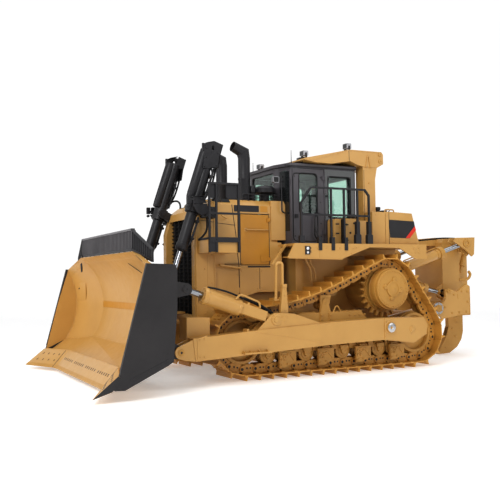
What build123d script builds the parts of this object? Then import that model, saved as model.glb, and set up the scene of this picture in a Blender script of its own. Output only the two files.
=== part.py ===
"""Large crawler dozer with a U-shaped blade and a single-shank rear ripper.

Millimetres, +X forward (towards the blade), +Y the machine's left, +Z up, ground at Z = 0.
Side outlines are drawn in a working frame whose X = 0 is the first track shoe on the ground;
X0 moves that frame so that the whole machine is centred on the origin.
"""
import os
from math import atan2, cos, degrees, radians, sin

from build123d import *

os.makedirs("parts", exist_ok=True)

# ---------------------------------------------------------------- driving sizes
X0 = 1752.0  # from the working frame to the machine's centre

TRACK_Y = 1275.0  # half the track gauge
SHOE_W = 610.0
PITCH_PIN_Z = 185.0  # pin line of the lower run above ground
IDLER_X_FRONT, IDLER_X_REAR, IDLER_Z = -50.0, -3860.0, 660.0
IDLER_R = 392.0  # wheel that the rails run on
IDLER_PIN_R = 475.0  # pin line round an idler
SPROCKET_X, SPROCKET_Z, SPROCKET_PIN_R = -3200.0, 1530.0, 502.0
RAIL_IN, PLATE_IN, PLATE_OUT, GROUSER_OUT = 80.0, 83.0, 105.0, 185.0  # from the pin line
SHOES = 43
ROLLER_R, ROLLER_Z = 136.0, 403.0
TOW_X, TOW_LOW, TOW_R = 660.0, 985.0, 35.0  # front towing bracket
ROLLER_X = [-576, -965, -1370, -1770, -2170, -2600, -3000, -3330]

TRUNNION_X, TRUNNION_Z, TRUNNION_R = -2903.0, 820.0, 95.0
ARM_Y, ARM_W = 1765.0, 250.0
ARM_PIN_X, ARM_PIN_Z, ARM_PIN_R = 1250.0, 585.0, 55.0

TILT_X, TILT_Z = -506.0, 1049.0  # rear pin of the tilt cylinder
TILT_EYE_X, TILT_EYE_Z = 1145.0, 1600.0  # its rod eye at the blade

LIFT_Y = 880.0
LIFT_X, LIFT_Z = 593.0, 3050.0  # swivel collar of the lift cylinder
LIFT_EYE_X, LIFT_EYE_Z = 1281.0, 1000.0  # its rod eye at the blade

RIP_ARM_X, RIP_ARM_Z, RIP_ARM_Y = -3350.0, 740.0, 660.0  # front pin of the ripper arms
RIP_PIN_X, RIP_PIN_Z = -5003.0, 1081.0  # cross shaft in the carriage
RIP_CYL_X, RIP_CYL_Z, RIP_CYL_Y = -4020.0, 1895.0, 750.0  # front pin of a pitch cylinder
RIP_EYE_X, RIP_EYE_Z = -5810.0, 2470.0  # its rod eye
RLIFT_X, RLIFT_Z, RLIFT_Y = -4020.0, 1720.0, 510.0  # front pin of a ripper lift cylinder
RLIFT_EYE_X, RLIFT_EYE_Z = -5370.0, 1394.0  # its rod eye

FIT = 0.05  # radial running clearance of a pin in its bore
SIDES = [  # label, sign of Y
    ("l", 1),
    ("r", -1),
]


# ---------------------------------------------------------------- planes
def slab(y, width):
    """Upright plane at the outer face of a slab centred on y; extrudes towards the right."""
    return Plane(origin=(X0, y + width / 2, 0), x_dir=(1, 0, 0), z_dir=(0, -1, 0))


def level(z):
    return Plane(origin=(X0, 0, z), x_dir=(1, 0, 0), z_dir=(0, 0, 1))


def across(x):
    """Upright plane square to the machine; local x is Y, extrudes forward."""
    return Plane(origin=(X0 + x, 0, 0), x_dir=(0, 1, 0), z_dir=(1, 0, 0))


def along(x1, z1, x2, z2, y, start=0.0):
    """Plane square to the line from (x1, z1) to (x2, z2), its origin start mm along it."""
    n = Vector(x2 - x1, 0, z2 - z1).normalized()
    o = Vector(X0 + x1, y, z1) + n * start
    return Plane(origin=o, x_dir=(0, 1, 0), z_dir=n)


def save(part, label):
    part.label = label
    export_step(part, f"parts/{label}.step")


def span(x1, z1, x2, z2):
    return ((x2 - x1) ** 2 + (z2 - z1) ** 2) ** 0.5


# ---------------------------------------------------------------- track loop
def on(cx, cz, r, angle):
    return (cx + r * cos(radians(angle)), cz + r * sin(radians(angle)))


SPROCKET_LEAVE, SPROCKET_MEET = 144.2, 65.0  # where the pin line touches the sprocket
IDLER_TOP = 98.5
SAG = [(-2700, 1862), (-2197, 1630), (-1543, 1380), (-922, 1221)]  # pin line, X Z

with BuildSketch(Plane.XY) as pin_loop:
    with BuildLine() as pins:
        Line((IDLER_X_FRONT, PITCH_PIN_Z), (IDLER_X_REAR, PITCH_PIN_Z))
        ThreePointArc(
            (IDLER_X_REAR, PITCH_PIN_Z),
            on(IDLER_X_REAR, IDLER_Z, IDLER_PIN_R, 207),
            on(IDLER_X_REAR, IDLER_Z, IDLER_PIN_R, SPROCKET_LEAVE),
        )
        Line(
            on(IDLER_X_REAR, IDLER_Z, IDLER_PIN_R, SPROCKET_LEAVE),
            on(SPROCKET_X, SPROCKET_Z, SPROCKET_PIN_R, SPROCKET_LEAVE),
        )
        ThreePointArc(
            on(SPROCKET_X, SPROCKET_Z, SPROCKET_PIN_R, SPROCKET_LEAVE),
            on(SPROCKET_X, SPROCKET_Z, SPROCKET_PIN_R, 105),
            on(SPROCKET_X, SPROCKET_Z, SPROCKET_PIN_R, SPROCKET_MEET),
        )
        Polyline(
            on(SPROCKET_X, SPROCKET_Z, SPROCKET_PIN_R, SPROCKET_MEET),
            *SAG,
            on(IDLER_X_FRONT, IDLER_Z, IDLER_PIN_R, IDLER_TOP),
        )
        ThreePointArc(
            on(IDLER_X_FRONT, IDLER_Z, IDLER_PIN_R, IDLER_TOP),
            on(IDLER_X_FRONT, IDLER_Z, IDLER_PIN_R, 0),
            (IDLER_X_FRONT, PITCH_PIN_Z),
        )
    make_face()

loop_wire = pins.wires()[0]
if (loop_wire % 0.02).X > 0:  # run rearwards along the ground
    loop_wire = Wire([e for e in loop_wire.edges()])
grousers = []
for i in range(SHOES):
    t = ((50.0 + i * loop_wire.length / SHOES) / loop_wire.length) % 1.0
    p, d = loop_wire @ t, loop_wire % t
    side = 1.0
    nx, nz = -d.Y * side, d.X * side
    if pin_loop.sketch.faces()[0].is_inside(Vector(p.X + nx * 20, p.Y + nz * 20, 0)):
        nx, nz = -nx, -nz
    grousers.append(Location((p.X + nx * 95, p.Y + nz * 95, 0), degrees(atan2(nz, nx)) - 90))

for side, s in SIDES:
    with BuildPart() as track:
        with BuildSketch(slab(s * TRACK_Y, SHOE_W)):
            offset(pin_loop.sketch_local, amount=PLATE_OUT, kind=Kind.INTERSECTION)
            with Locations(*grousers):
                Rectangle(22, 90, align=(Align.CENTER, Align.MIN))
            offset(
                pin_loop.sketch_local, amount=PLATE_IN, kind=Kind.INTERSECTION, mode=Mode.SUBTRACT
            )
        extrude(amount=SHOE_W)
        for rail in (-92.5, 92.5):
            with BuildSketch(slab(s * TRACK_Y + rail, 65)):
                offset(pin_loop.sketch_local, amount=PLATE_IN + 5, kind=Kind.INTERSECTION)
                offset(
                    pin_loop.sketch_local,
                    amount=-RAIL_IN,
                    kind=Kind.INTERSECTION,
                    mode=Mode.SUBTRACT,
                )
            extrude(amount=65)
    save(track.part, f"track_{side}")

# ---------------------------------------------------------------- undercarriage
FRAME_SIDE = [  # X, Z of a track frame's outline
    (-520, 560), (-520, 1000), (-1000, 1060), (-1250, 1120), (-2560, 1130),
    (-2720, 950), (-3400, 900), (-3400, 560),
]
with BuildPart() as track_frames:
    for s in (1, -1):
        with BuildSketch(slab(s * TRACK_Y, 380)):
            with BuildLine():
                Polyline(*FRAME_SIDE, close=True)
            make_face()
        extrude(amount=380)
        # fork plates that carry the idler axles
        for fork in (-170, 170):
            with BuildSketch(slab(s * TRACK_Y + fork, 40)):
                with BuildLine():
                    Polyline(
                        (-600, 520), (-600, 990), (-300, 980), (60, 800), (100, 660), (60, 560),
                        close=True,
                    )
                make_face()
                with BuildLine():
                    Polyline(
                        (-3300, 580), (-3300, 890), (-3700, 860), (-3990, 760), (-3990, 560),
                        close=True,
                    )
                make_face()
            extrude(amount=40)
        # roller saddles
        with BuildSketch(slab(s * TRACK_Y, 280)):
            for x1, x2 in zip(ROLLER_X[:-1], ROLLER_X[1:]):
                with Locations(((x1 + x2) / 2, 495)):
                    Rectangle(x1 - x2 - 2 * ROLLER_R - 12, 130)
        extrude(amount=280)
        # carrier roller stand
        with BuildSketch(slab(s * (TRACK_Y + 170), 40)):
            with BuildLine():
                Polyline(
                    (-1640, 1060), (-1700, 1300), (-1830, 1300), (-1900, 1060), close=True
                )
            make_face()
        extrude(amount=40)
save(track_frames.part, "track_frames")

with BuildPart() as idlers:
    for s in (1, -1):
        for x in (IDLER_X_FRONT, IDLER_X_REAR):
            with BuildSketch(slab(s * TRACK_Y, 110)):
                with Locations((x, IDLER_Z)):
                    Circle(IDLER_R + 22)
            extrude(amount=110)
            with BuildSketch(slab(s * TRACK_Y, 270)):
                with Locations((x, IDLER_Z)):
                    Circle(IDLER_R - 1)
                    Circle(IDLER_R - 60, mode=Mode.SUBTRACT)
            extrude(amount=270)
            with BuildSketch(slab(s * TRACK_Y, 294)):
                with Locations((x, IDLER_Z)):
                    Circle(90)
            extrude(amount=294)
save(idlers.part, "idlers")

with BuildPart() as track_rollers:
    for s in (1, -1):
        for x in ROLLER_X:
            with BuildSketch(slab(s * TRACK_Y, 290)):
                with Locations((x, ROLLER_Z)):
                    Circle(ROLLER_R)
            extrude(amount=290)
            with BuildSketch(slab(s * TRACK_Y, 370)):
                with Locations((x, ROLLER_Z)):
                    Circle(55)
            extrude(amount=370)
        with BuildSketch(slab(s * (TRACK_Y + 10), 270)):
            with Locations((-1765, 1250)):
                Circle(75)
        extrude(amount=270)
save(track_rollers.part, "track_rollers")

with BuildPart() as roller_guards:
    for s in (1, -1):
        for x in (-960, -1770, -2600, -3390):
            with BuildSketch(slab(s * (TRACK_Y + 210), 36)):
                with BuildLine():
                    Polyline(
                        (x + 210, 470), (x + 210, 165), (x + 65, 170), (x - 140, 268),
                        (x - 140, 470), close=True,
                    )
                make_face()
            extrude(amount=36)
save(roller_guards.part, "roller_guards")

with BuildPart() as final_drives:
    for s in (1, -1):
        hub = [  # distance of the section's middle from the centre plane, width, radius
            (880, 540, 405),
            (1275, 250, 330),
            (1480, 160, 400),
            (1590, 60, 372),
            (1628, 16, 150),
        ]
        for y, width, radius in hub:
            with BuildSketch(slab(s * y, width)):
                with Locations((SPROCKET_X, SPROCKET_Z)):
                    Circle(radius)
            extrude(amount=width)
save(final_drives.part, "final_drives")

with BuildPart() as sprockets:
    for s in (1, -1):
        with BuildSketch(slab(s * TRACK_Y, 84)):
            with Locations((SPROCKET_X, SPROCKET_Z)):
                Circle(478)
                with PolarLocations(505, 27):
                    Trapezoid(86, 70, 68, rotation=-90)
                Circle(331, mode=Mode.SUBTRACT)
        extrude(amount=84)
save(sprockets.part, "sprockets")

with BuildPart() as trunnions:
    for s in (1, -1):
        with BuildSketch(slab(s * 1705, 470)):
            with Locations((TRUNNION_X, TRUNNION_Z)):
                Circle(TRUNNION_R)
        extrude(amount=470)
        with BuildSketch(slab(s * 1554, 160)):
            with Locations((TRUNNION_X, TRUNNION_Z)):
                Circle(150)
        extrude(amount=160)
save(trunnions.part, "trunnions")

# ---------------------------------------------------------------- hull
with BuildPart() as main_frame:
    # lower case from the radiator to the ripper bracket
    with BuildSketch(slab(0, 1180)):
        with BuildLine():
            Polyline(
                (150, 930), (150, 1500), (-1500, 1500), (-1500, 2320), (-3880, 2320),
                (-3880, 1000), (-3600, 660), (-1500, 660), (-900, 930), close=True,
            )
        make_face()
    extrude(amount=1180)
    # wider upper case under the cab
    with BuildSketch(slab(0, 1700)):
        with BuildLine():
            Polyline(
                (-1500, 1400), (-1500, 2320), (-2700, 2320), (-2700, 1900), (-2400, 1400),
                close=True,
            )
        make_face()
    extrude(amount=1700)
    # wings behind the final drives
    with BuildSketch(slab(0, 1700)):
        with BuildLine():
            Polyline(
                (-2700, 2180), (-2700, 2320), (-3880, 2320), (-3880, 1650), (-3720, 2180),
                close=True,
            )
        make_face()
    extrude(amount=1700)
save(main_frame.part, "main_frame")

with BuildPart() as pivot_shaft:
    for y in (-830, 830):
        with BuildSketch(slab(y, 478)):
            with Locations((-2780, 800)):
                Circle(120)
        extrude(amount=478)
save(pivot_shaft.part, "pivot_shaft")

with BuildPart() as equalizer_bar:
    with BuildSketch(across(-820)):
        with BuildLine():
            Polyline(
                (-1070, 760), (-1070, 880), (-300, 900), (300, 900), (1070, 880), (1070, 760),
                (300, 700), (-300, 700), close=True,
            )
        make_face()
    extrude(amount=200)
save(equalizer_bar.part, "equalizer_bar")

with BuildPart() as engine_block:
    with BuildSketch(level(1502)):
        with Locations((-610, 0)):
            Rectangle(1240, 900)
    extrude(amount=1250)
save(engine_block.part, "engine_block")

# ---------------------------------------------------------------- radiator guard and hood
GUARD_SIDE = [(540, 930), (540, 2650), (430, 3020), (230, 3170), (160, 3170), (160, 930)]
with BuildPart() as radiator_guard:
    with BuildSketch(slab(0, 1640)):
        with BuildLine():
            Polyline(*GUARD_SIDE, close=True)
        make_face()
    extrude(amount=1640)
    with BuildSketch(across(300)):
        with Locations((0, 2010)):
            Rectangle(1290, 1780)
    extrude(amount=400, mode=Mode.SUBTRACT)
    # towing bracket with an upright pin hole
    for z in (TOW_LOW, TOW_LOW + 140):
        with BuildSketch(level(z)):
            with BuildLine():
                Polyline((480, -150), (480, 150), (TOW_X, 100), (TOW_X, -100), close=True)
            make_face()
            with Locations((TOW_X, 0)):
                Circle(100)
                Circle(TOW_R, mode=Mode.SUBTRACT)
        extrude(amount=40)
save(radiator_guard.part, "radiator_guard")

with BuildPart() as radiator_grille:
    with BuildSketch(across(340)):
        with Locations((0, 2010)):
            Rectangle(1284, 1774)
    extrude(amount=60)
save(radiator_grille.part, "radiator_grille")

HOOD_Y, HOOD_END = 760.0, -1254.0
with BuildPart() as hood:
    with BuildSketch(across(HOOD_END)):
        with BuildLine():
            Polyline(
                (-HOOD_Y, 1505), (-HOOD_Y, 3130), (-640, 3235), (640, 3235), (HOOD_Y, 3130),
                (HOOD_Y, 1505), (HOOD_Y - 40, 1505), (HOOD_Y - 40, 3110), (620, 3195),
                (-620, 3195), (40 - HOOD_Y, 3110), (40 - HOOD_Y, 1505), close=True,
            )
        make_face()
    extrude(amount=158 - HOOD_END)
    # rear of the hood narrows towards the cab
    for s in (1, -1):
        with BuildSketch(level(2440)):
            with BuildLine():
                Polyline(
                    (-1000, s * 762), (HOOD_END - 2, s * 705), (HOOD_END - 2, s * 762), close=True
                )
            make_face()
        extrude(amount=900, mode=Mode.SUBTRACT)
        # engine door opening
        with BuildSketch(slab(s * HOOD_Y, 200)):
            with Locations((-685, 2490)):
                Rectangle(612, 946)
        extrude(amount=200, mode=Mode.SUBTRACT)
    # mouth at the front stays open behind the guard, outlets in the top for the stacks
save(hood.part, "hood")

DOOR_HINGE_X = -991.0
for side, s in SIDES:
    with BuildPart() as engine_door:
        with BuildSketch(slab(s * (HOOD_Y - 20), 30)):
            with Locations((-685, 2490)):
                Rectangle(600, 934)
        extrude(amount=30)
        for z in (2120, 2860):
            with BuildSketch(level(z - 35)):
                with Locations((DOOR_HINGE_X + 26, s * (HOOD_Y + 2))):
                    Rectangle(52, 26)
                with Locations((DOOR_HINGE_X, s * (HOOD_Y + 16))):
                    Circle(13)
                with Locations((DOOR_HINGE_X + 14, s * (HOOD_Y + 10))):
                    Rectangle(28, 16)
            extrude(amount=70)
    save(engine_door.part, f"engine_door_{side}")

with BuildPart() as exhausts:
    for s in (1, -1):
        with BuildSketch(level(3237)):
            with Locations((-600, s * 510)):
                Circle(112)
        extrude(amount=893)
        with BuildSketch(Plane(origin=(X0 - 600, s * 510, 4130), x_dir=(0, 1, 0), z_dir=(0, 0, 1))):
            Circle(112)
        with BuildSketch(
            Plane(origin=(X0 - 358, s * 510, 4263), x_dir=(0, 1, 0), z_dir=(0.957, 0, 0.29))
        ):
            Circle(97)
        loft()
save(exhausts.part, "exhausts")

with BuildPart() as precleaners:
    for y in (520, -520):
        with BuildSketch(level(3236)):
            with Locations((-1030, y)):
                Circle(90)
        extrude(amount=150)
        with BuildSketch(level(3386)):
            with Locations((-1030, y)):
                Circle(205)
        extrude(amount=150)
save(precleaners.part, "precleaners")

# ---------------------------------------------------------------- platform, tank and ROPS
SKIRT = [  # X, Z of the platform's side skirt
    (-1064, 2370), (-930, 2126), (-2109, 2106), (-2724, 2323), (-3427, 2320), (-3831, 2105),
    (-4100, 2105), (-4100, 2390), (-1100, 2390),
]
with BuildPart() as platform:
    for s in (1, -1):
        with BuildSketch(slab(s * 1535, 30)):
            with BuildLine():
                Polyline(*SKIRT, close=True)
            make_face()
        extrude(amount=30)
        with BuildSketch(level(2345)):
            with Locations((-2590, s * 1240)):
                Rectangle(3020, 620)
        extrude(amount=45)
    with BuildSketch(level(2322)):
        with Locations((-2820, 0)):
            Rectangle(2560, 1862)
    extrude(amount=68)
save(platform.part, "platform")

with BuildPart() as fuel_tank:
    with BuildSketch(slab(0, 2660)):
        with BuildLine():
            Polyline((-3280, 2392), (-3280, 3045), (-3930, 3020), (-4105, 2392), close=True)
        make_face()
    extrude(amount=2660)
    fillet(fuel_tank.edges().filter_by(Axis.Y).group_by(Axis.Z)[-1], 50)
save(fuel_tank.part, "fuel_tank")

with BuildPart() as side_boxes:
    for s in (1, -1):
        with BuildSketch(level(2392)):
            with Locations((-3115, s * 1215)):
                Rectangle(315, 230)
        extrude(amount=640)
save(side_boxes.part, "side_boxes")

with BuildPart() as rops:
    with BuildSketch(slab(0, 2160)):
        with BuildLine():
            Polyline(
                (-1600, 4005), (-1600, 4035), (-2640, 4262), (-3400, 4262), (-3440, 4212),
                (-3440, 4020), (-3290, 3940), (-2950, 3945), (-2811, 3972), (-2646, 4034),
                (-2392, 3993), (-2213, 3962), (-1830, 3966), close=True,
            )
        make_face()
    extrude(amount=2160)
    for y in (-950, 950):
        with BuildSketch(slab(y, 240)):
            with BuildLine():
                Polyline(
                    (-2945, 2392), (-2945, 3950), (-3290, 3950), (-3240, 3700), (-3240, 2392),
                    close=True,
                )
            make_face()
        extrude(amount=240)
save(rops.part, "rops")

# ---------------------------------------------------------------- cab
CAB_Z0, CAB_Z1 = 2392.0, 3890.0
CAB_PLAN = [  # X, Y of the outer wall
    (-1265, 500), (-1300, 600), (-1385, 890), (-1400, 920), (-2860, 920),
    (-2860, -920), (-1400, -920), (-1385, -890), (-1300, -600), (-1265, -500),
]
CAB_INNER = [  # X, Y of the inner wall
    (-1325, 480), (-1360, 590), (-1440, 860), (-2800, 860),
    (-2800, -860), (-1440, -860), (-1360, -590), (-1325, -480),
]
QUARTER_SLOPE = (-0.2813, 0.9596)  # direction of the wall beside the windscreen
with BuildPart() as cab_body:
    with BuildSketch(level(CAB_Z0)):
        with BuildLine():
            Polyline(*CAB_PLAN, close=True)
        make_face()
    extrude(amount=CAB_Z1 - CAB_Z0)
    with BuildSketch(level(CAB_Z0 + 60)):
        with BuildLine():
            Polyline(*CAB_INNER, close=True)
        make_face()
    extrude(amount=CAB_Z1 - CAB_Z0, mode=Mode.SUBTRACT)
    # door openings and rear side windows
    for s in (1, -1):
        with BuildSketch(slab(s * 890, 140)):
            with Locations((-1770, 3165)):
                Rectangle(720, 1400)
            with Locations((-2480, 3330)):
                RectangleRounded(520, 800, 60)
        extrude(amount=140, mode=Mode.SUBTRACT)
    # windscreen and rear window
    with BuildSketch(across(-1400)):
        with Locations((0, 3270)):
            RectangleRounded(900, 1080, 50)
    extrude(amount=200, mode=Mode.SUBTRACT)
    with BuildSketch(across(-2900)):
        with Locations((0, 3330)):
            RectangleRounded(1400, 800, 60)
    extrude(amount=140, mode=Mode.SUBTRACT)
    # quarter windows beside the windscreen
    for s in (1, -1):
        ax, ay = QUARTER_SLOPE
        quarter = Plane(
            origin=(X0 - 1341, s * 740, 3270), x_dir=(ax, s * ay, 0), z_dir=(ay, -s * ax, 0)
        )
        with BuildSketch(quarter.offset(-110)):
            RectangleRounded(200, 1080, 40)
        extrude(amount=150, mode=Mode.SUBTRACT)
save(cab_body.part, "cab_body")

with BuildPart() as cab_roof:
    with BuildSketch(level(CAB_Z1 + 0.5)):
        with BuildLine():
            Polyline(
                (-1230, 510), (-1270, 640), (-1350, 950), (-2880, 950),
                (-2880, -950), (-1350, -950), (-1270, -640), (-1230, -510), close=True,
            )
        make_face()
    extrude(amount=60)
save(cab_roof.part, "cab_roof")

with BuildPart() as cab_glass:
    for s in (1, -1):
        with BuildSketch(slab(s * 885, 8)):
            with Locations((-2480, 3330)):
                RectangleRounded(518, 798, 59)
        extrude(amount=8)
        ax, ay = QUARTER_SLOPE
        pane = Plane(
            origin=(X0 - 1341, s * 740, 3270), x_dir=(ax, s * ay, 0), z_dir=(ay, -s * ax, 0)
        )
        with BuildSketch(pane.offset(-30)):
            RectangleRounded(198, 1078, 39)
        extrude(amount=8)
    with BuildSketch(across(-1300)):
        with Locations((0, 3270)):
            RectangleRounded(898, 1078, 49)
    extrude(amount=8)
    with BuildSketch(across(-2835)):
        with Locations((0, 3330)):
            RectangleRounded(1398, 798, 59)
    extrude(amount=8)
save(cab_glass.part, "cab_glass")

CAB_HINGE_X = -2128.0
for side, s in SIDES:
    with BuildPart() as cab_door:
        with BuildSketch(slab(s * 892, 46)):
            with Locations((-1770, 3165)):
                Rectangle(706, 1386)
            with Locations((-1768, 3381)):
                RectangleRounded(400, 770, 60, mode=Mode.SUBTRACT)
        extrude(amount=46)
        for z in (2640, 3690):
            with BuildSketch(level(z - 40)):
                with Locations((CAB_HINGE_X, s * 938)):
                    Circle(14)
                with Locations((CAB_HINGE_X + 26, s * 926)):
                    Rectangle(40, 28)
            extrude(amount=80)
    save(cab_door.part, f"cab_door_{side}")

for side, s in SIDES:
    with BuildPart() as door_glass:
        with BuildSketch(slab(s * 892, 8)):
            with Locations((-1768, 3381)):
                RectangleRounded(398, 768, 59)
        extrude(amount=8)
    save(door_glass.part, f"door_glass_{side}")

with BuildPart() as seat:
    with BuildSketch(level(CAB_Z0 + 60.5)):
        with Locations((-2250, 0)):
            Rectangle(420, 360)
    extrude(amount=280)
    with BuildSketch(level(CAB_Z0 + 340.5)):
        with Locations((-2230, 0)):
            RectangleRounded(540, 540, 60)
    extrude(amount=150)
    with BuildSketch(slab(0, 500)):
        with BuildLine():
            Polyline(
                (-2420, 2870), (-2500, 2870), (-2620, 3560), (-2510, 3560), close=True
            )
        make_face()
    extrude(amount=500)
save(seat.part, "seat")

with BuildPart() as console:
    for y, width, height in ((430, 190, 560), (-430, 190, 560)):
        with BuildSketch(level(CAB_Z0 + 60.5)):
            with Locations((-2150, y)):
                Rectangle(640, width)
        extrude(amount=height)
    with BuildSketch(level(CAB_Z0 + 60.5)):
        with Locations((-1450, 0)):
            Rectangle(200, 520)
    extrude(amount=620)
save(console.part, "cab_consoles")

# ---------------------------------------------------------------- front steps and rails
with BuildPart() as step_box:
    with BuildSketch(level(2220)):
        with Locations((200, 1060)):
            Rectangle(600, 460)
    extrude(amount=230)
save(step_box.part, "step_box")

BAR = 36.0
with BuildPart() as step_rails:
    rails = [  # X, half length, Z, height of a level rail on the outer side
        (200, 300, 3430, BAR),
        (200, 300, 2905, BAR),
        (200, 300, 2471, BAR),
    ]
    for x, half, z, height in rails:
        with BuildSketch(slab(1309, BAR)):
            with Locations((x, z)):
                Rectangle(2 * half, height)
        extrude(amount=BAR)
    for x in (-82, 350, 482):
        with BuildSketch(slab(1309, BAR)):
            with Locations((x, 2836)):
                Rectangle(BAR, 1224)
        extrude(amount=BAR)
    with BuildSketch(level(2452)):
        with Locations((-82, 1070), (482, 1070)):
            Rectangle(BAR, 478)
    extrude(amount=BAR)
save(step_rails.part, "step_rails")

RAIL_Y = 1500.0
RAIL_POSTS = [  # X and height of a post above the deck
    (-1251, 730), (-1900, 1010), (-2190, 1010), (-2490, 1010), (-2757, 900),
]
with BuildPart() as handrails:
    for s in (1, -1):
        for x, height in RAIL_POSTS:
            with BuildSketch(level(2392)):
                with Locations((x, s * RAIL_Y)):
                    Rectangle(BAR, BAR)
            extrude(amount=height)
        with BuildSketch(slab(s * RAIL_Y, BAR)):
            with BuildLine():
                Polyline(
                    (-1233, 3130), (-1452, 3438), (-2673, 3438), (-2775, 3318), (-2775, 3280),
                    (-2739, 3280), (-2739, 3305), (-2657, 3402), (-1470, 3402), (-1269, 3120),
                    (-1269, 3100), (-1233, 3100), close=True,
                )
            make_face()
            with Locations((-2004, 2920)):
                Rectangle(1500, BAR)
        extrude(amount=BAR)
save(handrails.part, "handrails")

with BuildPart() as lamps:
    for x, y, z in ((-2700, 900, 4250), (-2700, -900, 4250), (-1700, 900, 4040), (-1700, -900, 4040)):
        with BuildSketch(level(z)):
            with Locations((x, y)):
                Rectangle(110, 150)
        extrude(amount=160)
    add(rops.part, mode=Mode.SUBTRACT)
save(lamps.part, "work_lamps")

# ---------------------------------------------------------------- push arms
ARM_SIDE = [
    (1049, 800), (-172, 890), (-1617, 965), (-2733, 1000), (-3702, 986), (-3790, 840),
    (-3766, 660), (-3457, 507), (-2743, 596), (-1609, 567), (-77, 487), (1004, 427),
]
with BuildPart() as push_arms:
    for s in (1, -1):
        with BuildSketch(slab(s * ARM_Y, ARM_W)):
            with BuildLine():
                Polyline(*ARM_SIDE, close=True)
            make_face()
        extrude(amount=ARM_W)
        # fork that straddles the blade's lugs
        for fork in (-98, 98):
            with BuildSketch(slab(s * ARM_Y + fork, 34)):
                with BuildLine():
                    Polyline(
                        (950, 440), (950, 805), (1000, 805), (1290, 680), (1280, 488),
                        (1180, 452), (1000, 428), close=True,
                    )
                make_face()
                with Locations((ARM_PIN_X, ARM_PIN_Z)):
                    Circle(105)
            extrude(amount=34)
        # cheeks for the tilt cylinder
        for cheek in (-85, 85):
            with BuildSketch(slab(s * ARM_Y + cheek, 30)):
                with BuildLine():
                    Polyline(
                        (-100, 850), (-400, 1130), (-506, 1169), (-870, 1139), (-1467, 940),
                        (-1467, 850), close=True,
                    )
                make_face()
                with Locations((TILT_X, TILT_Z)):
                    Circle(120)
            extrude(amount=30)
        # brace box in front of the track
        with BuildSketch(slab(s * 1475, 332)):
            with BuildLine():
                Polyline((645, 780), (645, 1120), (1060, 1135), (1060, 760), close=True)
            make_face()
        extrude(amount=332)
        # bores
        with BuildSketch(slab(s * ARM_Y, ARM_W + 20)):
            with Locations((TRUNNION_X, TRUNNION_Z)):
                Circle(TRUNNION_R + FIT)
            with Locations((ARM_PIN_X, ARM_PIN_Z)):
                Circle(ARM_PIN_R + FIT)
        extrude(amount=ARM_W + 20, mode=Mode.SUBTRACT)
        with BuildSketch(slab(s * ARM_Y, 240)):
            with Locations((TILT_X, TILT_Z)):
                Circle(50)
        extrude(amount=240)
        # post that carries the tilt cylinder's hoses
        with BuildSketch(slab(s * ARM_Y, 60)):
            with BuildLine():
                Polyline(
                    (-630, 880), (-783, 880), (-783, 1165), (-753, 1640), (-676, 1640),
                    (-630, 1165), close=True,
                )
            make_face()
        extrude(amount=60)
save(push_arms.part, "push_arms")

# tilt cylinder: brace tube and barrel, then the rod
length = span(TILT_X, TILT_Z, TILT_EYE_X, TILT_EYE_Z)
with BuildPart() as tilt_barrels:
    for s in (1, -1):
        with BuildSketch(slab(s * ARM_Y, 130)):
            with Locations((TILT_X, TILT_Z)):
                Circle(110)
        extrude(amount=130)
        with BuildSketch(along(TILT_X, TILT_Z, TILT_EYE_X, TILT_EYE_Z, s * ARM_Y, 60)):
            Circle(64)
        extrude(amount=180)
        with BuildSketch(along(TILT_X, TILT_Z, TILT_EYE_X, TILT_EYE_Z, s * ARM_Y, 200)):
            Circle(95)
        extrude(amount=560)
        with BuildSketch(along(TILT_X, TILT_Z, TILT_EYE_X, TILT_EYE_Z, s * ARM_Y, 700)):
            Circle(135)
        extrude(amount=700)
        with BuildSketch(along(TILT_X, TILT_Z, TILT_EYE_X, TILT_EYE_Z, s * ARM_Y, 900)):
            Circle(56)
        extrude(amount=600, mode=Mode.SUBTRACT)
        with BuildSketch(slab(s * ARM_Y, 140)):
            with Locations((TILT_X, TILT_Z)):
                Circle(50 + FIT)
        extrude(amount=140, mode=Mode.SUBTRACT)
save(tilt_barrels.part, "tilt_barrels")

with BuildPart() as tilt_rods:
    for s in (1, -1):
        with BuildSketch(along(TILT_X, TILT_Z, TILT_EYE_X, TILT_EYE_Z, s * ARM_Y, 1020)):
            Circle(55.95)
        extrude(amount=length - 1020)
        with BuildSketch(slab(s * ARM_Y, 110)):
            with Locations((TILT_EYE_X, TILT_EYE_Z)):
                Circle(100)
        extrude(amount=110)
save(tilt_rods.part, "tilt_rods")

# ---------------------------------------------------------------- blade
BEND_Y, END_Y, BIT_Y = 1630.0, 2540.0, 2600.0  # corner, end of the wing, end of the end bits
CENTRE_FRONT = [(1990, 2218), (1531, 1300), (1760, 640)]  # top, middle, bottom of the arc
END_FRONT = [(2040, 1990), (1858, 1400), (2096, 560)]
CENTRE_EDGE = [(2225, 400), (2492, 75), (2453, 43), (2186, 368)]  # front top, tip, back low, back top
END_EDGE = [(2511, 379), (2895, 70), (2600, 160), (2440, 330)]


def edge_section(y):
    """Corners of the cutting edge at a distance y from the middle."""
    t = (y - BEND_Y) / (BIT_Y - BEND_Y)
    return [(cx + t * (ex - cx), cz + t * (ez - cz)) for (cx, cz), (ex, ez) in zip(CENTRE_EDGE, END_EDGE)]


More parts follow.
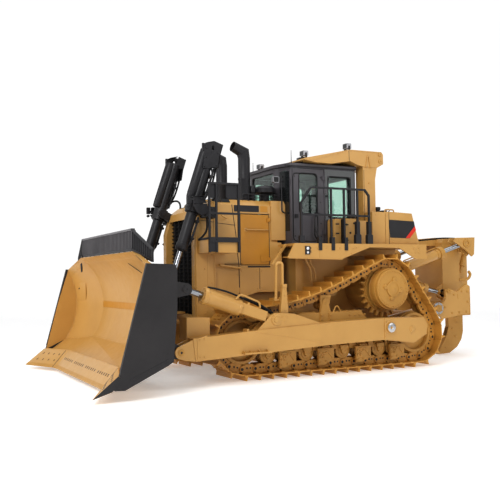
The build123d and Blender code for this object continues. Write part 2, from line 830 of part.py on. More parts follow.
def moldboard_section(front, y):
    """Closed outline: hollow front, toe behind the cutting edge, and a back 70 mm behind."""
    (tx, tz), (mx, mz), (bx, bz) = front
    low, top = edge_section(y)[2:]
    top = (top[0] - 0.4, top[1] - 0.3)
    toe = (top[0] + 0.4 * (low[0] - top[0]), top[1] + 0.4 * (low[1] - top[1]))
    with BuildLine() as outline:
        ThreePointArc((tx, tz), (mx, mz), (bx, bz))
        Line((bx, bz), top)
        Line(top, toe)
        Line(toe, (toe[0] - 62, toe[1] - 48))
        Line((toe[0] - 62, toe[1] - 48), (bx - 75, bz - 30))
        ThreePointArc((bx - 75, bz - 30), (mx - 70, mz), (tx - 70, tz + 10))
        Line((tx - 70, tz + 10), (tx, tz))
    return outline.edges()


with BuildPart() as moldboard:
    with BuildSketch(slab(0, 2 * BEND_Y)):
        make_face(moldboard_section(CENTRE_FRONT, BEND_Y))
    extrude(amount=2 * BEND_Y)
    for s in (1, -1):
        with BuildSketch(slab(s * BEND_Y, 0)):
            make_face(moldboard_section(CENTRE_FRONT, BEND_Y))
        with BuildSketch(slab(s * END_Y, 0)):
            make_face(moldboard_section(END_FRONT, END_Y))
        loft()
save(moldboard.part, "moldboard")

with BuildPart() as cutting_edge:
    with BuildSketch(slab(0, 2 * BEND_Y)):
        with BuildLine():
            Polyline(*CENTRE_EDGE, close=True)
        make_face()
    extrude(amount=2 * BEND_Y)
    for s in (1, -1):
        with BuildSketch(slab(s * BEND_Y, 0)):
            with BuildLine():
                Polyline(*CENTRE_EDGE, close=True)
            make_face()
        with BuildSketch(slab(s * BIT_Y, 0)):
            with BuildLine():
                Polyline(*END_EDGE, close=True)
            make_face()
        loft()
save(cutting_edge.part, "cutting_edge")

with BuildPart() as wing_end_plates:
    for s in (1, -1):
        with BuildSketch(slab(s * (END_Y + 30.5), 60)):
            with BuildLine():
                Polyline(
                    (2060, 2005), (2234, 1341), (2470, 440), (2490, 372), (2470, 345),
                    (2600, 200), (2560, 172), (2410, 166), (1739, 484), (1657, 538),
                    (1636, 810), (1594, 1321), (1588, 1905), (1615, 1983), (1687, 1992),
                    close=True,
                )
            make_face()
        extrude(amount=60)
    add(cutting_edge.part, mode=Mode.SUBTRACT)
save(wing_end_plates.part, "wing_end_plates")

with BuildPart() as spill_guard:
    with BuildSketch(across(1925)):
        with Locations((0, 2575)):
            Rectangle(3170, 30)
        with Locations((0, 2250)):
            Rectangle(3260, 40)
        with GridLocations(79, 0, 41, 1):
            with Locations((0, 2410)):
                Rectangle(16, 320)
    extrude(amount=40)
    # guards over the wings, bent rearwards and falling outwards
    for s in (1, -1):
        bend = Plane(origin=(X0 + 1945, s * 1570, 0), x_dir=(-0.135, s * 0.9908, 0),
                     z_dir=(s * 0.9908, 0.135, 0))
        with BuildSketch(bend):
            for top, low in (((2590, 2560), (2240, 2208)), ((2275, 2235), (2072, 2032))):
                with BuildLine():
                    Polyline((0, top[0]), (722, low[0]), (722, low[1]), (0, top[1]), close=True)
                make_face()
            for k in range(10):
                u = 28 + 75 * k
                with BuildLine():
                    Polyline(
                        (u, 2262 - 0.281 * u), (u, 2580 - 0.485 * u), (u + 16, 2572 - 0.485 * u),
                        (u + 16, 2258 - 0.281 * u), close=True,
                    )
                make_face()
        extrude(amount=s * 36.5)
    add(moldboard.part, mode=Mode.SUBTRACT)
save(spill_guard.part, "spill_guard")

BEAMS = [  # outlines, X Z, of the box beams behind the moldboard
    [(1330, 1360), (1330, 1560), (1520, 1560), (1495, 1360)],
    [(1330, 560), (1330, 760), (1635, 760), (1705, 640), (1815, 560)],
]
CHEEKS = [  # middle Y, half spacing, pin X Z, eye radius, top X Z and bottom X Z, inner then outer
    (ARM_Y, 50, ARM_PIN_X, ARM_PIN_Z, 105, (1590, 860), (1845, 520), (1640, 860), (1895, 520)),
    (ARM_Y, 80, TILT_EYE_X, TILT_EYE_Z, 100, (1625, 1800), (1520, 1420), (1680, 1800), (1580, 1420)),
    (LIFT_Y, 80, LIFT_EYE_X, LIFT_EYE_Z, 100, (1495, 1300), (1612, 800), (1495, 1300), (1612, 800)),
]
with BuildPart() as blade_frame:
    for outline in BEAMS:
        with BuildSketch(slab(0, 3240)):
            with BuildLine():
                Polyline(*outline, close=True)
            make_face()
        extrude(amount=3240)
    for s in (1, -1):
        for y, half, x, z, r, top_in, low_in, top_out, low_out in CHEEKS:
            for offset_y, top, low in ((-half, top_in, low_in), (half, top_out, low_out)):
                with BuildSketch(slab(s * (y + offset_y), 34)):
                    with BuildLine():
                        Polyline((x, z - r), (x, z + r), top, low, close=True)
                    make_face()
                    with Locations((x, z)):
                        Circle(r)
                extrude(amount=34)
        with BuildSketch(slab(s * ARM_Y, 240)):
            with Locations((ARM_PIN_X, ARM_PIN_Z)):
                Circle(ARM_PIN_R)
        extrude(amount=240)
    add(moldboard.part, mode=Mode.SUBTRACT)
save(blade_frame.part, "blade_frame")

# ---------------------------------------------------------------- lift cylinders
UP = span(LIFT_EYE_X, LIFT_EYE_Z, LIFT_X, LIFT_Z)
with BuildPart() as lift_yokes:
    for s in (1, -1):
        # beam behind the cylinder that carries both cheeks
        with BuildSketch(slab(s * LIFT_Y, 430)):
            with BuildLine():
                Polyline((250, 2840), (250, 3040), (438, 3040), (446, 2860), close=True)
            make_face()
        extrude(amount=430)
        for cheek in (-185, 185):
            with BuildSketch(slab(s * LIFT_Y + cheek, 60)):
                with BuildLine():
                    Polyline(
                        (LIFT_X, LIFT_Z + 90), (LIFT_X, LIFT_Z - 90), (400, 2860), (400, 3040),
                        close=True,
                    )
                make_face()
                with Locations((LIFT_X, LIFT_Z)):
                    Circle(90)
                    Circle(45 + FIT, mode=Mode.SUBTRACT)
            extrude(amount=60)
    add(radiator_guard.part, mode=Mode.SUBTRACT)
save(lift_yokes.part, "lift_yokes")

with BuildPart() as lift_barrels:
    for s in (1, -1):
        with BuildSketch(along(LIFT_X, LIFT_Z, LIFT_EYE_X, LIFT_EYE_Z, s * LIFT_Y, -1200)):
            Circle(95)
        extrude(amount=2020)
        with BuildSketch(along(LIFT_X, LIFT_Z, LIFT_EYE_X, LIFT_EYE_Z, s * LIFT_Y, -110)):
            Circle(140)
        extrude(amount=220)
        # cover over the hose ends at the head
        with BuildSketch(slab(s * LIFT_Y, 90)):
            with BuildLine():
                Polyline((230, 4110), (40, 4157), (136, 3727), (350, 3730), close=True)
            make_face()
        extrude(amount=90)
        with BuildSketch(along(LIFT_X, LIFT_Z, LIFT_EYE_X, LIFT_EYE_Z, s * LIFT_Y, -1100)):
            Circle(50)
        extrude(amount=2000, mode=Mode.SUBTRACT)
        with BuildSketch(slab(s * LIFT_Y + 180, 90)):
            with Locations((LIFT_X, LIFT_Z)):
                Circle(45)
        extrude(amount=90)
        with BuildSketch(slab(s * LIFT_Y - 180, 90)):
            with Locations((LIFT_X, LIFT_Z)):
                Circle(45)
        extrude(amount=90)
save(lift_barrels.part, "lift_barrels")

with BuildPart() as lift_rods:
    for s in (1, -1):
        with BuildSketch(along(LIFT_X, LIFT_Z, LIFT_EYE_X, LIFT_EYE_Z, s * LIFT_Y, 230)):
            Circle(49.95)
        extrude(amount=UP - 230)
        with BuildSketch(slab(s * LIFT_Y, 110)):
            with Locations((LIFT_EYE_X, LIFT_EYE_Z)):
                Circle(95)
        extrude(amount=110)
save(lift_rods.part, "lift_rods")

# ---------------------------------------------------------------- ripper
with BuildPart() as ripper_bracket:
    for s in (1, -1):
        plates = [  # Y, X and Z of the pin, height of the plate
            (RIP_CYL_Y - 92, RIP_CYL_X, RIP_CYL_Z, 150),
            (RIP_CYL_Y + 92, RIP_CYL_X, RIP_CYL_Z, 150),
            (RLIFT_Y - 82, RLIFT_X, RLIFT_Z, 130),
            (RLIFT_Y + 82, RLIFT_X, RLIFT_Z, 130),
        ]
        for y, x, z, height in plates:
            with BuildSketch(slab(s * y, 36)):
                with BuildLine():
                    Polyline(
                        (-3881, z + height), (x, z + 95), (x, z - 95), (-3881, z - height),
                        close=True,
                    )
                make_face()
                with Locations((x, z)):
                    Circle(95)
            extrude(amount=36)
        with BuildSketch(slab(s * RIP_CYL_Y, 260)):
            with Locations((RIP_CYL_X, RIP_CYL_Z)):
                Circle(45 + FIT)
        extrude(amount=260, mode=Mode.SUBTRACT)
        with BuildSketch(slab(s * RLIFT_Y, 220)):
            with Locations((RLIFT_X, RLIFT_Z)):
                Circle(45)
        extrude(amount=220)
        with BuildSketch(slab(s * 681, 180)):
            with Locations((RIP_ARM_X, RIP_ARM_Z)):
                Circle(60)
        extrude(amount=180)
save(ripper_bracket.part, "ripper_bracket")

# front pins of the pitch cylinders, free to turn in the bracket
with BuildPart() as pitch_pins:
    for s in (1, -1):
        with BuildSketch(slab(s * RIP_CYL_Y, 260)):
            with Locations((RIP_CYL_X, RIP_CYL_Z)):
                Circle(45)
        extrude(amount=260)
        # flanged ends that keep the pin in the bracket
        for end in (-1, 1):
            with BuildSketch(slab(s * RIP_CYL_Y + end * 122.5, 22)):
                with Locations((RIP_CYL_X, RIP_CYL_Z)):
                    Circle(90)
            extrude(amount=22)
save(pitch_pins.part, "pitch_cylinder_pins")

with BuildPart() as ripper_arms:
    for y in (-RIP_ARM_Y, RIP_ARM_Y):
        with BuildSketch(slab(y, 110)):
            with BuildLine():
                Polyline(
                    (RIP_ARM_X, 620), (RIP_ARM_X, 860), (RIP_PIN_X, 1190), (RIP_PIN_X, 975),
                    close=True,
                )
            make_face()
            with Locations((RIP_ARM_X, RIP_ARM_Z)):
                Circle(120)
            with Locations((RIP_PIN_X, RIP_PIN_Z)):
                Circle(108)
            with Locations((RIP_ARM_X, RIP_ARM_Z), (RIP_PIN_X, RIP_PIN_Z)):
                Circle(60 + FIT, mode=Mode.SUBTRACT)
        extrude(amount=110)
    with BuildSketch(slab(0, 1300)):
        with Locations((-4400, 960)):
            Circle(85)
    extrude(amount=1300)
save(ripper_arms.part, "ripper_arms")

# rear pins of the arms, one on each side of the carriage, with a flange at the outer end
RIP_PIN_STEPS = [  # Y, length, radius
    (725, 234, 60),
    (829, 34, 125),
]
with BuildPart() as ripper_pins:
    for s in (1, -1):
        for y, length, radius in RIP_PIN_STEPS:
            with BuildSketch(slab(s * y, length)):
                with Locations((RIP_PIN_X, RIP_PIN_Z)):
                    Circle(radius)
            extrude(amount=length)
save(ripper_pins.part, "ripper_pins")

PLATE = [  # X, Z of the carriage's side plate
    (-5003, 960), (-5003, 1166), (-5140, 1180), (-5222, 1283), (-5217, 1475), (-5377, 1481),
    (-5550, 1416), (-5820, 1589), (-5912, 1533), (-5915, 912), (-5540, 907), (-5130, 852),
]
with BuildPart() as carriage:
    for s in (1, -1):
        with BuildSketch(slab(s * 785, 50)):
            with BuildLine():
                Polyline(*PLATE, close=True)
            make_face()
            with Locations((RIP_PIN_X, RIP_PIN_Z)):
                Circle(120)
                Circle(60 + FIT, mode=Mode.SUBTRACT)
        extrude(amount=50)
        # cheeks for the pitch cylinder's rod
        for cheek in (-85, 85):
            with BuildSketch(slab(s * RIP_CYL_Y + cheek, 36)):
                with BuildLine():
                    Polyline(
                        (-5460, 2500), (-5508, 2583), (-6049, 2600), (-6024, 2231),
                        (-5963, 2186), (-5780, 2330), close=True,
                    )
                make_face()
            extrude(amount=36)
        # plate that carries the cheeks
        with BuildSketch(slab(s * 735, 206)):
            with BuildLine():
                Polyline((-5985, 2240), (-5985, 2600), (-6049, 2600), (-6024, 2240), close=True)
            make_face()
        extrude(amount=206)
        # inner cheek for the lift cylinder's rod
        with BuildSketch(slab(s * 431, 40)):
            with BuildLine():
                Polyline(
                    (-5300, 1300), (-5300, 1490), (-5480, 1600), (-5480, 1200), close=True
                )
            make_face()
        extrude(amount=40)
    # front box
    with BuildSketch(slab(0, 920)):
        with BuildLine():
            Polyline((-5470, 1440), (-5470, 2500), (-5508, 2583), (-5960, 2597), (-5960, 1200),
                     (-5560, 1200), close=True)
        make_face()
    extrude(amount=920)
    # bearing plate between the head cheeks
    with BuildSketch(slab(0, 1330)):
        with BuildLine():
            Polyline((-5930, 2300), (-5930, 2590), (-5990, 2592), (-5990, 2300), close=True)
        make_face()
    extrude(amount=1290)
    # lower beam from side plate to side plate
    with BuildSketch(slab(0, 1530)):
        with BuildLine():
            Polyline((-5560, 920), (-5560, 1230), (-5900, 1300), (-5900, 925), close=True)
        make_face()
    extrude(amount=1530)
    # guides on both sides of the shank
    for y in (-180, 180):
        with BuildSketch(slab(y, 240)):
            with BuildLine():
                Polyline((-5890, 925), (-5890, 2590), (-6250, 2560), (-6330, 2300), (-6330, 1100),
                         (-6250, 925), close=True)
            make_face()
        extrude(amount=240)
    # hose tray
    with BuildSketch(slab(0, 500)):
        with BuildLine():
            Polyline((-4960, 2425), (-4960, 2530), (-5520, 2575), (-5520, 2440), close=True)
        make_face()
    extrude(amount=500)
save(carriage.part, "ripper_carriage")

with BuildPart() as shank:
    with BuildSketch(slab(0, 104)):
        with BuildLine():
            Polyline(
                (-5968, 2300), (-5968, 620), (-5880, 380), (-5700, 120), (-5660, 12),
                (-5990, 22), (-6216, 150), (-6344, 311), (-6399, 495), (-6399, 2300),
                close=True,
            )
        make_face()
    extrude(amount=104)
save(shank.part, "ripper_shank")

CYLINDERS = [  # name, front pin X Z, rod eye X Z, Y, barrel and bore radius, bore start, barrel end, rod start
    ("pitch", RIP_CYL_X, RIP_CYL_Z, RIP_EYE_X, RIP_EYE_Z, RIP_CYL_Y, 108, 50, 200, 1240, 880),
    ("ripper_lift", RLIFT_X, RLIFT_Z, RLIFT_EYE_X, RLIFT_EYE_Z, RLIFT_Y, 88, 42, 108, 950, 470),
]
for name, x1, z1, x2, z2, y, radius, bore, bore_start, barrel_length, start in CYLINDERS:
    reach = span(x1, z1, x2, z2)
    with BuildPart() as barrels:
        for s in (1, -1):
            with BuildSketch(slab(s * y, 110)):
                with Locations((x1, z1)):
                    Circle(90)
            extrude(amount=110)
            with BuildSketch(along(x1, z1, x2, z2, s * y, 60)):
                Circle(54)
            extrude(amount=100)
            with BuildSketch(along(x1, z1, x2, z2, s * y, 125)):
                Circle(radius)
            extrude(amount=barrel_length - 125)
            with BuildSketch(along(x1, z1, x2, z2, s * y, bore_start)):
                Circle(bore)
            extrude(amount=barrel_length, mode=Mode.SUBTRACT)
            with BuildSketch(slab(s * y, 120)):
                with Locations((x1, z1)):
                    Circle(45 + FIT)
            extrude(amount=120, mode=Mode.SUBTRACT)
    save(barrels.part, f"{name}_barrels")

    with BuildPart() as rods:
        for s in (1, -1):
            with BuildSketch(along(x1, z1, x2, z2, s * y, start)):
                Circle(bore - FIT)
            extrude(amount=reach - start)
            with BuildSketch(slab(s * y, 100)):
                with Locations((x2, z2)):
                    Circle(85)
            extrude(amount=100)
    save(rods.part, f"{name}_rods")
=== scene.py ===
import bpy
import bmesh
import math
from math import cos, sin, pi, radians, atan2, sqrt
from mathutils import Vector, Matrix


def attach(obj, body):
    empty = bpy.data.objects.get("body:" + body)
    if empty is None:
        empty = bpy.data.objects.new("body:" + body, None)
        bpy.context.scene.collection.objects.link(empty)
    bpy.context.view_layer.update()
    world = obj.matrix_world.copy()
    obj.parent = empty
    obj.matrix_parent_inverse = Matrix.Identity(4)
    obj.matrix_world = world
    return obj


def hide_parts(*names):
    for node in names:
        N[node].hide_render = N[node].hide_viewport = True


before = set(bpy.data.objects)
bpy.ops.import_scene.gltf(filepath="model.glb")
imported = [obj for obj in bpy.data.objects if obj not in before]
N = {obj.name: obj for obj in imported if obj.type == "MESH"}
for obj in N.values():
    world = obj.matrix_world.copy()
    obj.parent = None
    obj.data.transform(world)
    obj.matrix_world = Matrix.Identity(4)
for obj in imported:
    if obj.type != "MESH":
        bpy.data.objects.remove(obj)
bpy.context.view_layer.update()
X0 = 1.752  # the working frame's x = 0 (first grouser) in the model's frame


# ------------------------------------------------------------------ materials
def new_mat(name):
    m = bpy.data.materials.new(name)
    m.use_nodes = True
    nt = m.node_tree
    bsdf = nt.nodes["Principled BSDF"]
    return m, nt, bsdf


def noise(nt, scale, detail=4.0, rough=0.55, stretch=None):
    co = nt.nodes.new("ShaderNodeTexCoord")
    mp = nt.nodes.new("ShaderNodeMapping")
    nt.links.new(co.outputs["Object"], mp.inputs["Vector"])
    if stretch:
        mp.inputs["Scale"].default_value = stretch
    n = nt.nodes.new("ShaderNodeTexNoise")
    n.inputs["Scale"].default_value = scale
    n.inputs["Detail"].default_value = detail
    n.inputs["Roughness"].default_value = rough
    nt.links.new(mp.outputs["Vector"], n.inputs["Vector"])
    return n.outputs["Fac"]


def ramp(nt, fac, stops):
    r = nt.nodes.new("ShaderNodeValToRGB")
    el = r.color_ramp.elements
    el[0].position, el[0].color = stops[0][0], (*stops[0][1], 1)
    el[1].position, el[1].color = stops[-1][0], (*stops[-1][1], 1)
    for p, c in stops[1:-1]:
        e = el.new(p)
        e.color = (*c, 1)
    nt.links.new(fac, r.inputs["Fac"])
    return r.outputs["Color"]


def span_map(nt, fac, lo, hi):
    m = nt.nodes.new("ShaderNodeMapRange")
    m.inputs["From Min"].default_value = 0.3
    m.inputs["From Max"].default_value = 0.7
    m.inputs["To Min"].default_value = lo
    m.inputs["To Max"].default_value = hi
    nt.links.new(fac, m.inputs["Value"])
    return m.outputs["Result"]


def bump(nt, bsdf, fac, strength, distance):
    b = nt.nodes.new("ShaderNodeBump")
    b.inputs["Strength"].default_value = strength
    b.inputs["Distance"].default_value = distance
    nt.links.new(fac, b.inputs["Height"])
    nt.links.new(b.outputs["Normal"], bsdf.inputs["Normal"])


def paint(name, light, mid, dark, r_lo, r_hi, coat=0.0, fine=220.0, metal=0.0, orange_peel=0.10):
    """Sprayed paint: slow drift in tone, fine grain in the gloss."""
    m, nt, b = new_mat(name)
    big = noise(nt, 1.3, 5.0)
    col = ramp(nt, big, [(0.30, dark), (0.5, mid), (0.72, light)])
    nt.links.new(col, b.inputs["Base Color"])
    nt.links.new(span_map(nt, noise(nt, 9.0, 6.0), r_lo, r_hi), b.inputs["Roughness"])
    bump(nt, b, noise(nt, fine, 2.0), orange_peel, 0.0006)
    b.inputs["Metallic"].default_value = metal
    b.inputs["Coat Weight"].default_value = coat
    b.inputs["Coat Roughness"].default_value = 0.18
    b.inputs["Specular IOR Level"].default_value = 0.5
    return m


YEL = paint("yellow_paint", (0.575, 0.338, 0.100), (0.548, 0.316, 0.090), (0.513, 0.292, 0.081),
            0.34, 0.46, coat=0.25)
YELC = paint("yellow_castings", (0.545, 0.302, 0.070), (0.500, 0.275, 0.061), (0.425, 0.228, 0.048),
             0.42, 0.60, coat=0.10, fine=70.0, orange_peel=0.35)
YELT = paint("yellow_track", (0.620, 0.330, 0.067), (0.560, 0.298, 0.059), (0.480, 0.246, 0.046),
             0.42, 0.60, coat=0.10, fine=60.0, orange_peel=0.35)
# painted shade: a darker copy of the yellow paint, put on the engine doors, the small hood plates, the step band of the
# blade face and the deck-side recess to stand in for the shade there
YEL_PAINTED_SHADE = paint("yellow_painted_shade", (0.560, 0.268, 0.030), (0.535, 0.255, 0.027), (0.490, 0.232, 0.024),
             0.42, 0.56, coat=0.10)
BLK = paint("black_paint", (0.024, 0.023, 0.026), (0.019, 0.018, 0.021), (0.014, 0.0135, 0.016),
            0.40, 0.52)
DRK = paint("dark_castings", (0.020, 0.019, 0.021), (0.015, 0.014, 0.016), (0.010, 0.0095, 0.010),
            0.48, 0.62, fine=90.0, orange_peel=0.3)
CABG = paint("cab_grey", (0.088, 0.080, 0.090), (0.078, 0.071, 0.080), (0.068, 0.062, 0.070),
             0.38, 0.50, coat=0.15)
GUARD = paint("end_guard_grey", (0.032, 0.029, 0.030), (0.028, 0.0255, 0.0265), (0.024, 0.022, 0.023),
              0.45, 0.58, fine=120.0, orange_peel=0.2)
STEEL = paint("worn_steel", (0.62, 0.62, 0.63), (0.52, 0.52, 0.53), (0.42, 0.42, 0.43),
              0.22, 0.36, metal=1.0, fine=150.0)
GREYR = paint("guard_rib_grey", (0.150, 0.142, 0.150), (0.125, 0.119, 0.125), (0.100, 0.095, 0.100),
              0.36, 0.50, coat=0.1)
CHROME = paint("chromed_rod", (0.36, 0.37, 0.39), (0.33, 0.34, 0.36), (0.30, 0.31, 0.33),
               0.07, 0.14, metal=1.0, orange_peel=0.02)
RUB = paint("rubber", (0.013, 0.013, 0.014), (0.010, 0.010, 0.011), (0.007, 0.007, 0.008),
            0.55, 0.72, fine=260.0, orange_peel=0.3)
PLAS = paint("cab_plastic", (0.060, 0.060, 0.064), (0.050, 0.050, 0.054), (0.042, 0.042, 0.045),
             0.5, 0.62, fine=300.0, orange_peel=0.25)
RED = paint("red_stripe", (0.70, 0.035, 0.012), (0.66, 0.030, 0.010), (0.60, 0.026, 0.009),
            0.3, 0.4, coat=0.2)
GREYM = paint("grey_metal", (0.36, 0.36, 0.37), (0.30, 0.30, 0.31), (0.25, 0.25, 0.26),
              0.35, 0.5, metal=0.6)


def fabric(name, light, dark):
    m, nt, b = new_mat(name)
    w1 = nt.nodes.new("ShaderNodeTexWave")
    w1.inputs["Scale"].default_value = 260.0
    co = nt.nodes.new("ShaderNodeTexCoord")
    nt.links.new(co.outputs["Object"], w1.inputs["Vector"])
    nt.links.new(ramp(nt, w1.outputs["Fac"], [(0.2, dark), (0.8, light)]), b.inputs["Base Color"])
    b.inputs["Roughness"].default_value = 0.85
    b.inputs["Sheen Weight"].default_value = 0.3
    bump(nt, b, w1.outputs["Fac"], 0.4, 0.001)
    return m


SEATF = fabric("seat_fabric", (0.055, 0.055, 0.062), (0.028, 0.028, 0.032))


def glass(name, tint):
    m, nt, b = new_mat(name)
    col = ramp(nt, noise(nt, 0.8, 1.0), [(0.35, tint), (0.65, tuple(min(1, c * 1.06) for c in tint))])
    nt.links.new(col, b.inputs["Base Color"])
    nt.links.new(span_map(nt, noise(nt, 5.0, 3.0), 0.02, 0.05), b.inputs["Roughness"])
    b.inputs["IOR"].default_value = 1.45
    b.inputs["Transmission Weight"].default_value = 1.0
    return m


GLS = glass("tinted_glass", (0.62, 0.80, 0.72))
LENS = glass("lamp_lens", (0.90, 0.92, 0.93))
LENSW = paint("lamp_reflector", (0.80, 0.81, 0.82), (0.74, 0.75, 0.76), (0.68, 0.69, 0.70),
              0.10, 0.18, coat=0.6, orange_peel=0.05)
LAMPM = paint("lamp_metal", (0.42, 0.42, 0.44), (0.36, 0.36, 0.38), (0.30, 0.30, 0.32),
              0.30, 0.42, metal=0.7)
GLSD = paint("dark_pane", (0.020, 0.023, 0.024), (0.016, 0.019, 0.020), (0.013, 0.015, 0.016),
             0.04, 0.09, coat=0.5, orange_peel=0.01)


# ------------------------------------------------------------------ mesh tools
class Mesh:
    """Collects closed shapes in working-frame metres; out() makes the object."""

    def __init__(self):
        self.bm = bmesh.new()

    def faces(self, verts, faces):
        vs = [self.bm.verts.new(v) for v in verts]
        for f in faces:
            try:
                self.bm.faces.new([vs[i] for i in f])
            except ValueError:
                pass

    def prism(self, pts, lo, hi, axis="y"):
        """A polygon pushed along an axis; pts are (x, z), (y, z) or (x, y)."""
        n = len(pts)
        def at(p, h):
            if axis == "y":
                return (p[0], h, p[1])
            if axis == "x":
                return (h, p[0], p[1])
            return (p[0], p[1], h)
        verts = [at(p, lo) for p in pts] + [at(p, hi) for p in pts]
        faces = [list(range(n))[::-1], [n + i for i in range(n)]]
        faces += [[i, (i + 1) % n, n + (i + 1) % n, n + i] for i in range(n)]
        self.faces(verts, faces)

    def box(self, x, y, z):
        self.prism([(x[0], z[0]), (x[1], z[0]), (x[1], z[1]), (x[0], z[1])], y[0], y[1])

    def lathe(self, a, n, profile, seg=24, start=0.0):
        """A turned shape: profile is (distance along n, radius)."""
        a, n = Vector(a), Vector(n).normalized()
        u = n.orthogonal().normalized()
        v = n.cross(u)
        rows = []
        for d, r in profile:
            if r < 1e-6:
                rows.append([self.bm.verts.new(a + n * d)])
            else:
                rows.append([
                    self.bm.verts.new(a + n * d + (u * cos(t) + v * sin(t)) * r)
                    for t in [start + 2 * pi * i / seg for i in range(seg)]
                ])
        for r1, r2 in zip(rows[:-1], rows[1:]):
            for i in range(seg):
                j = (i + 1) % seg
                if len(r1) == 1 and len(r2) == 1:
                    continue
                if len(r1) == 1:
                    self.bm.faces.new([r1[0], r2[j], r2[i]])
                elif len(r2) == 1:
                    self.bm.faces.new([r1[i], r1[j], r2[0]])
                else:
                    self.bm.faces.new([r1[i], r1[j], r2[j], r2[i]])
        if len(rows[0]) > 1:
            self.bm.faces.new(rows[0][::-1])
        if len(rows[-1]) > 1:
            self.bm.faces.new(rows[-1])

    def rod(self, a, b, r, seg=20, c=None):
        """A round bar with chamfered ends."""
        a, b = Vector(a), Vector(b)
        length = (b - a).length
        c = min(r * 0.15, 0.006) if c is None else c
        self.lathe(a, b - a, [(0, r - c), (c, r), (length - c, r), (length, r - c)], seg)

    def ring(self, a, n, length, r_out, r_in, seg=28, c=0.003):
        a, n = Vector(a), Vector(n).normalized()
        u = n.orthogonal().normalized()
        v = n.cross(u)
        prof = [(0, r_in), (0, r_out - c), (c, r_out), (length - c, r_out), (length, r_out - c),
                (length, r_in)]
        rows = [[self.bm.verts.new(a + n * d + (u * cos(t) + v * sin(t)) * r)
                 for t in [2 * pi * i / seg for i in range(seg)]] for d, r in prof]
        k = len(rows)
        for q in range(k):
            r1, r2 = rows[q], rows[(q + 1) % k]
            for i in range(seg):
                j = (i + 1) % seg
                self.bm.faces.new([r1[i], r1[j], r2[j], r2[i]])

    def bolt(self, p, n, r=0.018, h=0.014, washer=True):
        """Hexagon head on a washer, seated at p."""
        p, n = Vector(p), Vector(n).normalized()
        if washer:
            self.lathe(p, n, [(-0.004, r * 1.35), (h * 0.22, r * 1.35), (h * 0.26, r * 1.2)], 12)
        self.lathe(p, n, [(0, r), (h * 0.85, r), (h, r * 0.82)], 6, start=pi / 6)

    def dome(self, p, n, r, h, seg=16):
        prof = [(-0.003, r)] + [(h * sin(t), r * cos(t)) for t in (0.3, 0.7, 1.1)] + [(h, 0)]
        self.lathe(p, n, prof, seg)

    def sweep(self, path, r, seg=10, closed=False):
        """A round tube along a list of points."""
        pts = [Vector(p) for p in path]
        n = len(pts)
        t0 = (pts[1] - pts[0]).normalized()
        u = t0.orthogonal().normalized()
        rows = []
        for i, p in enumerate(pts):
            if closed:
                t = (pts[(i + 1) % n] - pts[i - 1]).normalized()
            elif i == 0:
                t = t0
            elif i == n - 1:
                t = (pts[-1] - pts[-2]).normalized()
            else:
                t = ((pts[i + 1] - p).normalized() + (p - pts[i - 1]).normalized()).normalized()
            u = (u - t * u.dot(t)).normalized()
            v = t.cross(u)
            k = 1.0
            if 0 < i < n - 1 and not closed:
                k = 1.0 / max(0.7, sqrt(max(0.0, (1 + (pts[i + 1] - p).normalized().dot((p - pts[i - 1]).normalized())) / 2)))
            rows.append([self.bm.verts.new(p + (u * cos(a) + v * sin(a)) * r * (k if k < 1.3 else 1.3))
                         for a in [2 * pi * j / seg for j in range(seg)]])
        loops = list(zip(rows[:-1], rows[1:])) + ([(rows[-1], rows[0])] if closed else [])
        for r1, r2 in loops:
            for i in range(seg):
                j = (i + 1) % seg
                self.bm.faces.new([r1[i], r1[j], r2[j], r2[i]])
        if not closed:
            self.bm.faces.new(rows[0][::-1])
            self.bm.faces.new(rows[-1])

    def tube(self, pts, r, bend=0.06, seg=10, steps=5):
        """Bent pipe: straight runs joined by round bends."""
        pts = [Vector(p) for p in pts]
        path = [pts[0]]
        for a, p, b in zip(pts[:-2], pts[1:-1], pts[2:]):
            d1, d2 = a - p, b - p
            t = min(bend, d1.length * 0.45, d2.length * 0.45)
            s, e = p + d1.normalized() * t, p + d2.normalized() * t
            for i in range(steps + 1):
                k = i / steps
                path.append(s * (1 - k) ** 2 + p * 2 * k * (1 - k) + e * k ** 2)
        path.append(pts[-1])
        self.sweep(path, r, seg)

    def mirror(self):
        """Adds the other side's copy, across y = 0."""
        geom = self.bm.verts[:] + self.bm.edges[:] + self.bm.faces[:]
        new = bmesh.ops.duplicate(self.bm, geom=geom)["geom"]
        vs = [g for g in new if isinstance(g, bmesh.types.BMVert)]
        fs = [g for g in new if isinstance(g, bmesh.types.BMFace)]
        for v in vs:
            v.co.y = -v.co.y
        bmesh.ops.reverse_faces(self.bm, faces=fs)
        return self

    def out(self, name, mat, body, bevel=0.0, seg=2, smooth=38, slot=None, replaces=()):
        bmesh.ops.recalc_face_normals(self.bm, faces=self.bm.faces[:])
        me = bpy.data.meshes.new(name)
        for v in self.bm.verts:
            v.co.x += X0
        self.bm.to_mesh(me)
        self.bm.free()
        for p in me.polygons:
            p.use_smooth = True
        me.set_sharp_from_angle(angle=radians(smooth))
        ob = bpy.data.objects.new(name, me)
        bpy.context.scene.collection.objects.link(ob)
        me.materials.append(mat)
        if bevel:
            b = ob.modifiers.new("edge", "BEVEL")
            b.width = bevel
            b.segments = seg
            b.limit_method = "ANGLE"
            b.angle_limit = radians(40)
            b.harden_normals = True
        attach(ob, body)
        if replaces:
            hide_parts(*replaces)
        return ob


def hoses(name, lines, r, mat, body):
    """Hoses held at both ends, as round NURBS curves."""
    cu = bpy.data.curves.new(name, "CURVE")
    cu.dimensions = "3D"
    cu.bevel_depth = r
    cu.bevel_resolution = 3
    cu.use_fill_caps = True
    cu.resolution_u = 8
    for pts in lines:
        sp = cu.splines.new("NURBS")
        sp.points.add(len(pts) - 1)
        for q, p in zip(sp.points, pts):
            q.co = (p[0] + X0, p[1], p[2], 1.0)
        sp.order_u = 3
        sp.use_endpoint_u = True
        sp.use_smooth = True
    ob = bpy.data.objects.new(name, cu)
    bpy.context.scene.collection.objects.link(ob)
    cu.materials.append(mat)
    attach(ob, body)
    return ob


